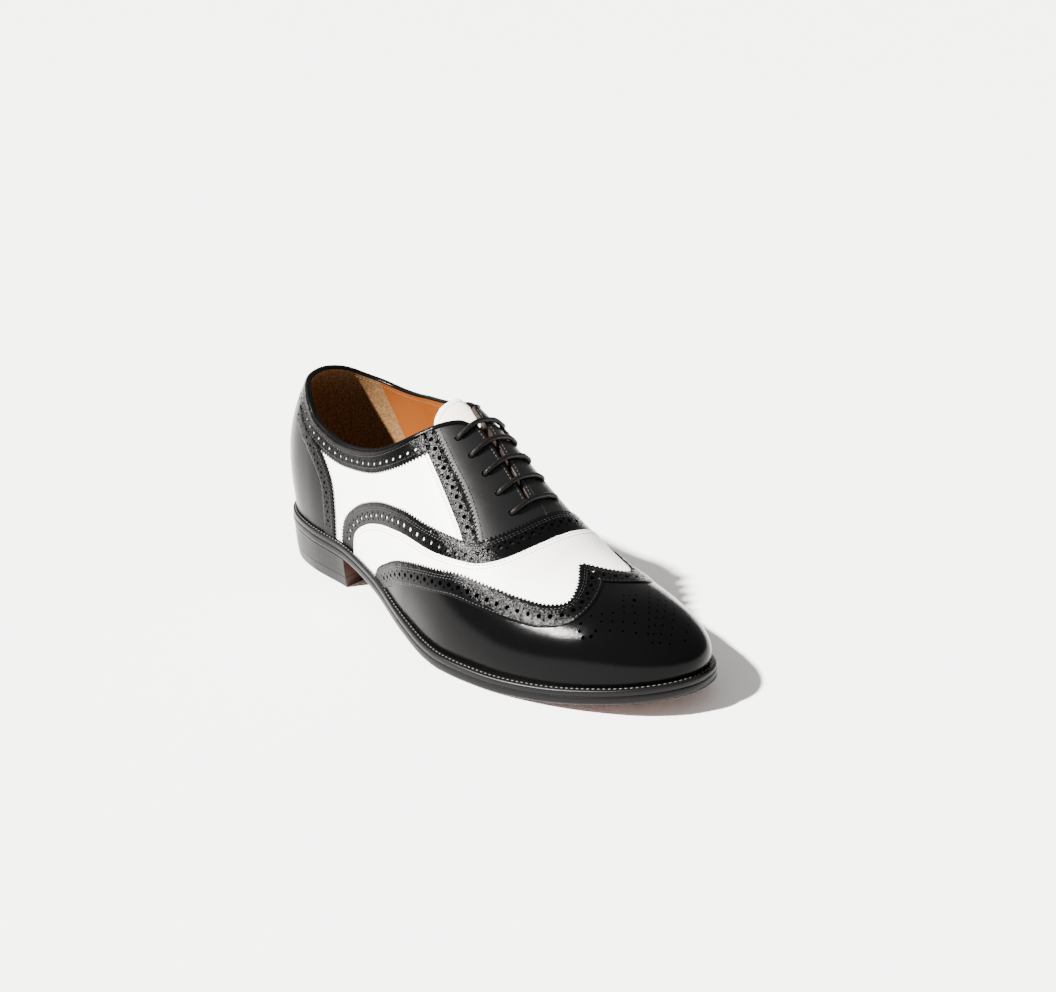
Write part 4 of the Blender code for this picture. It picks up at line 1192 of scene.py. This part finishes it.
def wing():
    """The wing-tip cap, and the perforated band sewn along its edge."""
    line = even(WING_UP, 1.5 * MM)
    lower = tidy_line(moved(line, -WING_BAND_WIDTH), line, WING_BAND_WIDTH - 0.4 * MM)
    foot = hem_between(WING_UP)
    start = tidy_line(moved(line, 2.5 * MM - WING_BAND_WIDTH), line, WING_BAND_WIDTH - 3 * MM)
    # A matte black sheet under the cap: its holes show it as dark pits, partly underlay and partly
    # painted shade.
    leather("wing_underlay_shade", np.vstack([moved(line, -1.0 * MM), foot]), 0.01 * MM, 0.06 * MM, BLACK_UNDERLAY_SHADE,
            limits=[BELOW], soft=[], rounded=0.0)
    points = toe_holes()
    holes = []
    for size in sorted({r for _, _, r in points}):
        chosen = np.array([(a, b) for a, b, r in points if r == size])
        holes += ovals(chosen, size * MM, 10 if size > 0.7 else 8)
    cap = leather("wing_cap_leather", np.vstack([start, foot]), 0.05 * MM, CAP, POLISHED,
                  limits=[BELOW], holes=holes)
    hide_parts("wing_cap")
    loop = np.vstack([gimped(WING_UP, TEETH), lower[::-1]])
    holes = brogued(line, -5.6 * MM, **WING_HOLES)
    holes = drop_crowded(holes_in(holes, hem_loop(HOLE_HEM)), 0.5 * MM)
    band = leather("wing_band_leather", loop, 0.08 * MM, WING_BAND, BAND_BLACK, limits=[BELOW],
                   holes=holes, spacing=FINE_SPACING, soft=[np.vstack([line, lower[::-1]])])
    keep_in = hem_loop(STITCH_HEM)
    for name, d in (("upper", -1.6 * MM), ("second", -2.8 * MM), ("lower", -9.7 * MM)):
        row = tidy_line(moved(line, d), line, -d - 0.2 * MM)
        threads(f"wing_thread_{name}", row[contains(row, keep_in)], THREAD_BLACK, WING_BAND)


WING_BAND_WIDTH = 11.0 * MM
NEAREST = 0.82  # share of the gap that each point of a moved line keeps


def hem_between(line):
    """The way round the front, well below the feather line, that closes the cap's outline."""
    start = QUARTER + line[0, 0] - HEEL_CENTRE
    return hem(start, ROUND - start, 9 * MM, FINE_LOOP)[::-1]


def tidy_line(line, source, gap):
    """A moved line without the points that come nearer to its source than gap allows."""
    apart = np.array([distance(p[None], source)[0] for p in line])
    kept = line[apart > NEAREST * gap]
    return even(kept, 1.5 * MM)


def drop_crowded(holes, gap):
    """The holes without those that touch one before them."""
    size = lambda hole: np.linalg.norm(hole - hole.mean(0), axis=1).max()
    kept = []
    for h in holes:
        if all(np.linalg.norm(h.mean(0) - k.mean(0)) > size(h) + size(k) + gap for k in kept):
            kept.append(h)
    return kept


def carried_on(line, more=4 * MM):
    """The line with its first end carried on, to finish under the piece above it."""
    step = line[0] - line[2]
    return np.vstack([line[0] + step / np.linalg.norm(step) * more, line])


def heel_counter():
    """The heel counter, and the perforated band along its front edge."""
    outer = carried_on(edge(COUNTER, -1, count=70))
    top = curve([outer[0], [-0.02 * SHOE_LENGTH, 0], outer[0] * (1, -1)], 30)
    start = QUARTER + outer[-1, 0] - HEEL_CENTRE
    back = hem(start, -start, 9 * MM, 120)
    drawn = moved(outer, -7.4 * MM)
    loop = np.vstack([drawn, back, drawn[::-1] * (1, -1), top[-2:0:-1]])
    collar_low = collar_loop(COLLAR_BAND_WIDTH - 1 * MM, FINE_LOOP)
    base = leather("counter_leather", loop, 0.05 * MM, 0.78 * MM, BLACK, limits=[BELOW],
                   cuts=[collar_low])
    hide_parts("counter")
    for side, label in ((-1, "outer"), (1, "inner")):
        line = carried_on(edge(COUNTER, side, count=120))
        low = moved(line, side * 8.8 * MM)[::-1]
        band_loop = np.vstack([gimped(line, -side * TEETH), low])
        holes = brogued(line, side * 4.6 * MM, **COUNTER_HOLES)
        cut = collar_loop(COLLAR_BAND_WIDTH + 1.5 * MM, FINE_LOOP)
        holes = holes_out(holes_in(holes, hem_loop(HOLE_HEM)), cut)
        band = leather(f"counter_band_{label}", band_loop, 0.3 * MM, COUNTER_BAND, BAND_BLACK,
                       limits=[BELOW], cuts=[collar_low], holes=holes, spacing=FINEST_SPACING,
                       soft=[np.vstack([line, low])])
        keep_in = hem_loop(STITCH_HEM)
        for k, d in enumerate((1.4 * MM, 7.6 * MM)):
            row = moved(line, side * d)
            row = even(row[contains(row, keep_in) & ~contains(row, cut)], 2 * MM)
            threads(f"counter_thread_{label}_{k + 1}", row, THREAD_BLACK, COUNTER_BAND)


def facings():
    """The eyelet facings, with the perforated strip down their rear edge."""
    for side, label in ((-1, "outer"), (1, "inner")):
        rear = rear_of(side)
        foot = edge(SWOOP_FOOT, side, count=80)
        foot = foot[foot[:, 0] > rear[-1, 0]]
        right = edge(STRIP_RIGHT, side, count=60)
        under = moved(right, side * 1.8 * MM)
        foot = foot[foot[:, 0] > under[-1, 0]]
        loop = np.vstack([under, foot, [[THROAT_LENGTH - 20 * MM, 0]]])
        strip_edges = np.vstack([rear, right[::-1]])
        # A matte black sheet under the strip: its holes show it as dark pits, partly underlay and
        # partly painted shade.
        leather(f"facing_{label}_underlay_shade", strip_edges, 0.01 * MM, 0.05 * MM, BLACK_UNDERLAY_SHADE, cuts=[RIM],
                soft=[], rounded=0.0)
        base = leather(f"facing_{label}_leather", loop, 0.05 * MM, FACE, FACING_BLACK,
                       cuts=[RIM, SLIT], holes=ovals(eyelets(side), EYELET_HOLE, 14), soft=[SLIT],
                       spacing=FINE_SPACING)
        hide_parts(f"facing_{label}")
        strip_loop = np.vstack([gimped(rear, -side * TEETH), gimped(right, side * TEETH)[::-1]])
        middle = (curve(rear, 60) + curve(right, 60)) / 2
        holes = brogued(middle, 0.0, **FACING_HOLES)
        holes = holes_out(holes, collar_loop(3.2 * MM, FINE_LOOP))
        holes = [h for h in holes if distance(h[:1], SWOOP_LINE_UP)[0] > 2.4 * MM]
        holes = [h for h in holes if not below_swoop(h[:1])[0]]
        strip = leather(f"facing_{label}_strip", strip_loop, 0.05 * MM, STRIP, BAND_BLACK,
                        cuts=[RIM], holes=holes, spacing=FINEST_SPACING, soft=[strip_edges])
        for k, (line, d) in enumerate(((rear, side * 1.5 * MM), (right, -side * 1.3 * MM))):
            row = even(moved(line, d), 2 * MM)
            row = row[~contains(row, collar_loop(2.2 * MM, FINE_LOOP)) & ~below_swoop(row)]
            threads(f"facing_{label}_thread_{k + 1}", even(row, 2 * MM), THREAD_LIGHT, STRIP)
        start, end = SLIT[[0, 1]] if side < 0 else SLIT[[3, 2]]
        row = np.linspace(start, end, 40) + (0, side * 1.6 * MM)
        row = row[~contains(row, collar_loop(2.4 * MM, FINE_LOOP))]
        threads(f"gap_{label}_thread", even(row, 2 * MM), THREAD_LIGHT, FACE)


SWOOP_LINE_UP = even(SWOOP_UP, 2 * MM)


def below_swoop(points):
    """Which points lie on the foot's side of the swoop band's upper edge."""
    aside, ahead = 300 * MM, 500 * MM
    corners = [[SWOOP_UP[-1, 0], aside], [ahead, aside], [ahead, -aside], [SWOOP_UP[0, 0], -aside]]
    return contains(points, np.vstack([SWOOP_UP, corners]))


# From this far along, the tongue is painted dark brown as the gap's shade.
TONGUE_SHADE_START = 149 * MM


def tongue_leather():
    """The tongue, with its stitched top edge; its lower part, seen in the gap between the facings,
    is painted dark brown as shade.
    """
    loop = even(tongue_region(), 2 * MM, closed=True)
    outside = -WALL - CLEARANCE
    item = leather("tongue_leather", loop, outside - TONGUE_THICKNESS, outside, CREAM,
                   spacing=3 * MM, rounded=0.5 * MM)
    # Painted shade: the faces further along the tongue, which show in the gap, take the dark brown.
    item.data.materials.append(GAP_SHADE_BROWN)
    for face in item.data.polygons:
        face.material_index = int(face.center.x - SHIFT[0] > TONGUE_SHADE_START)
    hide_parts("tongue")
    row = inset(loop, 3.0 * MM)
    row = row[row[:, 0] < THROAT_LENGTH + 6 * MM]
    first = np.flatnonzero(np.linalg.norm(np.diff(row, axis=0), axis=1) > 6 * MM)
    if len(first):
        row = np.roll(row, -(int(first[0]) + 1), axis=0)
    threads("tongue_thread", row, THREAD_CREAM, outside, pitch=2.2 * MM)


# ---------------------------------------------------------------- laces
def lace_points(along, rows_of_points):
    """The lace's points: mm along from the eyelet, mm round, and mm above the leather."""
    plan = np.array([(along + dp, q) for dp, q, _ in rows_of_points]) * MM
    return place(plan, np.array([h for _, _, h in rows_of_points]) * MM)


def smooth_path(points, count):
    """A smooth curve through points in space."""
    points = np.asarray(points, float)
    flat = np.vstack([2 * points[0] - points[1], points, 2 * points[-1] - points[-2]])
    out = []
    for i in range(1, len(flat) - 2):
        p0, p1, p2, p3 = flat[i - 1 : i + 3]
        for t in np.linspace(0, 1, count, endpoint=False):
            out.append(0.5 * ((2 * p1) + (-p0 + p2) * t + (2 * p0 - 5 * p1 + 4 * p2 - p3) * t**2
                              + (-p0 + 3 * p1 - 3 * p2 + p3) * t**3))
    return np.array(out + [flat[-2]])


def lacing():
    """Straight bars from eyelet to eyelet; the hidden runs go down inside the facings."""
    o, n = EYELET_OUTER / MM, EYELET_INNER / MM
    for k, along in enumerate(np.linspace(EYELET_FIRST, EYELET_LAST, LACE_ROWS)):
        a = along / MM
        left = [(0.4, -o + 0.9, -4.6), (0.1, -o + 0.3, -2.5), (0.0, -o + 0.1, -0.5),
                (0.1, -o + 0.7, 1.0), (0.2, -o + 2.6, 1.9)]
        over = [(0.1, -o + 8.0, 2.2), (0.0, -2.0, 2.2), (0.0, n - 8.0, 2.2)]
        right = [(0.0, n - 2.6, 1.9), (0.0, n - 0.7, 1.0), (0.0, n - 0.1, -0.5)]
        if k == 0:
            right = [(0.2, n - 3.0, 2.6), (-1.2, n + 0.5, 2.9), (-3.2, n + 2.6, 2.6),
                     (-3.4, n + 4.6, 2.2), (-1.2, n + 5.2, 1.9), (1.0, n + 3.6, 1.7),
                     (1.2, n + 1.6, 1.2), (0.2, n + 0.2, -0.5)]
        right += [(0.1, n - 0.3, -2.5), (0.4, n - 0.9, -4.6)]
        points = lace_points(a, left + over + right)
        cord = tube(f"lace_{k + 1}", smooth_path(points, 6), LACE_RADIUS, LACE, sides=12)
        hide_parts(f"lace_bar_{k + 1}")


# ---------------------------------------------------------------- sole and heel
def rings_object(name, levels, count, materials, kinds, open_middle=False):
    """A solid from fine rings round the sole; kinds gives each band's material."""
    rings = []
    for draw_in, height in levels:
        x, low, high = rows(draw_in, count)
        loop = np.vstack([np.c_[x, low], np.c_[x, high][-2:0:-1]])
        rings.append(np.c_[loop, height(loop[:, 0])])
    n = len(rings[0])
    faces, index = [], []
    for i in range(len(rings) - 1):
        faces += wall_faces(n, i * n, (i + 1) * n)
        index += [kinds[i]] * n
    if open_middle:
        faces += wall_faces(n, (len(rings) - 1) * n, 0)
        index += [kinds[-1]] * n
    else:
        low_cap, high_cap = cap_faces(n, 0), cap_faces(n, (len(rings) - 1) * n)
        faces += low_cap + high_cap
        index += [kinds[-1]] * len(low_cap) + [kinds[-2]] * len(high_cap)
    return object_of(name, np.vstack(rings) + SHIFT, faces, materials, indices=index, angle=35)


FINE = 150
HEEL_JOINT = 0.05 * MM
LIFT_GROOVE = 0.06 * MM
WELT_PITCH = 2.7 * MM
WELT_STITCH_LENGTH = 2.0 * MM
WELT_STITCH_WIDTH = 0.84 * MM
WELT_STITCH_RISE = 0.30 * MM


def sole():
    """The outsole, and the welt with its stitches."""
    levels = [
        (fixed(1.6 * MM), underside),
        (fixed(0.7 * MM), lambda x: underside(x) + 0.25 * MM),
        (fixed(0.2 * MM), lambda x: underside(x) + 0.8 * MM),
        (fixed(0.0), lambda x: underside(x) + 1.6 * MM),
        (fixed(0.0), lambda x: underside(x) + OUTSOLE_THICKNESS - 0.5 * MM),
        (fixed(0.3 * MM), lambda x: underside(x) + OUTSOLE_THICKNESS),
    ]
    item = rings_object("outsole_leather", levels, FINE, [EDGE, SOLE_LEATHER], [1, 0, 0, 0, 0, 1])
    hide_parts("outsole")
    base = lambda x: underside(x) + OUTSOLE_THICKNESS + 0.05 * MM
    top = lambda x: underside(x) + OUTSOLE_THICKNESS + CLEARANCE + WELT_THICKNESS
    levels = [
        (fixed(0.45 * MM), base),
        (fixed(0.15 * MM), lambda x: base(x) + 0.5 * MM),
        (fixed(0.15 * MM), lambda x: top(x) - 0.9 * MM),
        (fixed(0.45 * MM), lambda x: top(x) - 0.35 * MM),
        (fixed(1.0 * MM), top),
        (lambda x: np.minimum(margin(x) * 0.5, 2.0 * MM), top),
        (lambda x: margin(x) - 0.4 * MM, lambda x: top(x) - 0.2 * MM),
        (below_feather(1.5 * MM), top),
        (below_feather(WELT_REACH), top),
        (below_feather(WELT_REACH), base),
    ]
    item = rings_object("welt_leather", levels, FINE, [EDGE], [0] * 10, open_middle=True)
    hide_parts("welt")
    welt_stitches(top)


def welt_stitches(top):
    """The row of stitches along the welt."""
    outline = sole_outline(2400)
    loop = inset(outline, np.minimum(margin(outline[:, 0]) * 0.52, 2.6 * MM))
    loop = np.vstack([loop, loop[:1]])
    run = np.r_[0, np.cumsum(np.linalg.norm(np.diff(loop, axis=0), axis=1))]
    count = int(run[-1] / WELT_PITCH)
    ticks = np.linspace(0, run[-1], count, endpoint=False)
    x, y = np.interp(ticks, run, loop[:, 0]), np.interp(ticks, run, loop[:, 1])
    ahead = np.c_[np.roll(x, -1) - np.roll(x, 1), np.roll(y, -1) - np.roll(y, 1)]
    ahead /= np.linalg.norm(ahead, axis=1)[:, None]
    aside = np.c_[-ahead[:, 1], ahead[:, 0]]
    turn = np.linspace(0, 2 * math.pi, 6, endpoint=False)
    rings = ((-1.0, 0.0), (-0.7, 0.8), (0.0, 1.0), (0.7, 0.8), (1.0, 0.0))
    verts = []
    for k in range(count):
        for a, w in rings:
            for t in turn:
                out = w * WELT_STITCH_WIDTH / 2 * math.cos(t)
                px = x[k] + ahead[k, 0] * a * WELT_STITCH_LENGTH / 2 + aside[k, 0] * out
                py = y[k] + ahead[k, 1] * a * WELT_STITCH_LENGTH / 2 + aside[k, 1] * out
                high = float(top(np.array([px]))[0]) + WELT_STITCH_RISE * w * math.sin(t)
                verts.append((px, py, high))
    object_of("welt_thread", np.array(verts) + SHIFT, stitch_faces(count), [THREAD_WELT], angle=80)


THREAD_WELT = finish("welt_thread", (0.035, 0.033, 0.031), 0.4)


def block(name, low, high, low_taper, high_taper, materials):
    """A block of the heel, with a hollow front; the front faces take the second material."""
    wide, deep = 25, 40
    verts = []
    for height, taper in ((low, low_taper), (high, high_taper)):
        x, outer, inner = rows(fixed(taper), 300)
        s = np.linspace(0, 1, deep + 1) ** 2.0
        run = x[0] + s * (HEEL_LENGTH - x[0])
        across = np.linspace(-1, 1, wide)
        y_low, y_high = np.interp(run, x, outer), np.interp(run, x, inner)
        y = (y_low + y_high)[:, None] / 2 + (y_high - y_low)[:, None] / 2 * across
        px = run[:, None] - BREAST_HOLLOW * (s**6)[:, None] * (1 - across**2)
        verts.append(np.stack([px, y, height(px)], axis=-1).reshape(-1, 3))
    total = len(verts[0])
    faces, index = [], []
    for start in (0, total):
        for i in range(deep):
            for j in range(wide - 1):
                a = start + i * wide + j
                faces.append((a, a + 1, a + wide + 1, a + wide))
                index.append(0)
    left = [i * wide for i in range(deep + 1)]
    right = [i * wide + wide - 1 for i in range(deep + 1)]
    front = [deep * wide + j for j in range(wide)]
    for path, kind in ((left, 0), (right, 0), (front, 1)):
        for a, b in zip(path, path[1:]):
            faces.append((a, b, b + total, a + total))
            index.append(kind)
    return object_of(name, np.vstack(verts) + SHIFT, faces, materials, indices=index, angle=35)


def heel():
    """The stack of lifts, with a fine groove between each two, and the top piece."""
    taper = lambda z: HEEL_TAPER * (1 - z / HEEL_HEIGHT) + HEEL_STEP
    bottom = TOP_PIECE_THICKNESS + CLEARANCE
    rise = lambda x: underside(x) - HEEL_JOINT - bottom
    lifts = 3
    for k in range(lifts):
        a, b = k / lifts, (k + 1) / lifts
        groove = LIFT_GROOVE if a else 0
        low = lambda x, a=a: bottom + a * rise(x) + groove
        high = lambda x, b=b: bottom + b * rise(x)
        z0, z1 = bottom + a * (HEEL_HEIGHT - bottom), bottom + b * (HEEL_HEIGHT - bottom)
        item = block(f"heel_lift_{k + 1}", low, high, taper(z0), taper(z1), [HEEL_EDGE, HEEL_FRONT])
        if k == 0:
            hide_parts("heel_stack")
    high = lambda x: 0 * x + TOP_PIECE_THICKNESS
    item = block("heel_top_lift", lambda x: 0 * x, high, taper(0.0) + HEEL_STEP,
                 taper(TOP_PIECE_THICKNESS), [HEEL_EDGE, HEEL_FRONT])
    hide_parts("heel_top_piece")


# ---------------------------------------------------------------- studio
FLOOR_SIZE = 8.0


def floor():
    """The white paper that the shoe stands on."""
    mesh = bpy.data.meshes.new("floor")
    s = FLOOR_SIZE
    mesh.from_pydata([(-s, -s, 0), (s, -s, 0), (s, s, 0), (-s, s, 0)], [], [(0, 1, 2, 3)])
    material = finish("paper", (0.86, 0.86, 0.86), 0.8, spread=0.0)
    mesh.materials.append(material)
    item = linked("floor", mesh)


# The sun, with its direction in degrees, and the sky
KEY_AZIMUTH = -113.0
KEY_HEIGHT = 44.0
SUN_POWER = 31.0
SUN_SIZE = math.radians(3.0)
SUN_COLOUR = (1.0, 0.975, 0.94)
SKY_COLOUR = (1.0, 0.985, 0.95, 1.0)
SKY_POWER = 0.66


def lights():
    """An even sky and one sun."""
    world = bpy.data.worlds.new("studio")
    bpy.context.scene.world = world
    world.use_nodes = True
    sky = world.node_tree.nodes["Background"]
    sky.inputs["Color"].default_value = SKY_COLOUR
    sky.inputs["Strength"].default_value = SKY_POWER
    data = bpy.data.lights.new("key", "SUN")
    data.energy = SUN_POWER
    data.angle = SUN_SIZE
    data.color = SUN_COLOUR
    item = linked("key", data)
    az, el = math.radians(KEY_AZIMUTH), math.radians(KEY_HEIGHT)
    way = Vector((math.cos(az) * math.cos(el), math.sin(az) * math.cos(el), math.sin(el)))
    item.rotation_euler = way.to_track_quat("Z", "Y").to_euler()


# The photo's view: the camera's place round the shoe, and its lens
AZIMUTH, ELEVATION, ROLL = math.radians(47.941), math.radians(22.0), math.radians(0.014)
DISTANCE = 1.082
AIM = np.array([0.116, 0.065, 0.04])
LENS = 36.0 * 1900 / 1056


def camera():
    """The camera that repeats the photo's view."""
    a, e = AZIMUTH, ELEVATION
    back = np.array([math.sin(a) * math.cos(e), -math.cos(a) * math.cos(e), math.sin(e)])
    right = np.array([math.cos(a), math.sin(a), 0.0])
    up = np.cross(back, right)
    c, s = math.cos(ROLL), math.sin(ROLL)
    right, up = right * c + up * s, up * c - right * s
    data = bpy.data.cameras.new("camera")
    data.lens = LENS
    data.sensor_width = 36.0
    item = linked("camera", data)
    spot = AIM + SHIFT + back * DISTANCE
    m = Matrix((right, up, back)).transposed().to_4x4()
    m.translation = Vector(spot)
    item.matrix_world = m
    bpy.context.scene.camera = item


camera()
upper_shell()
collar()
heel_counter()
swoop()
facings()
vamp()
wing()
tongue_leather()
lacing()
sole()
heel()
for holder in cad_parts["insole"].material_slots:
    holder.material = SOCK
floor()
lights()
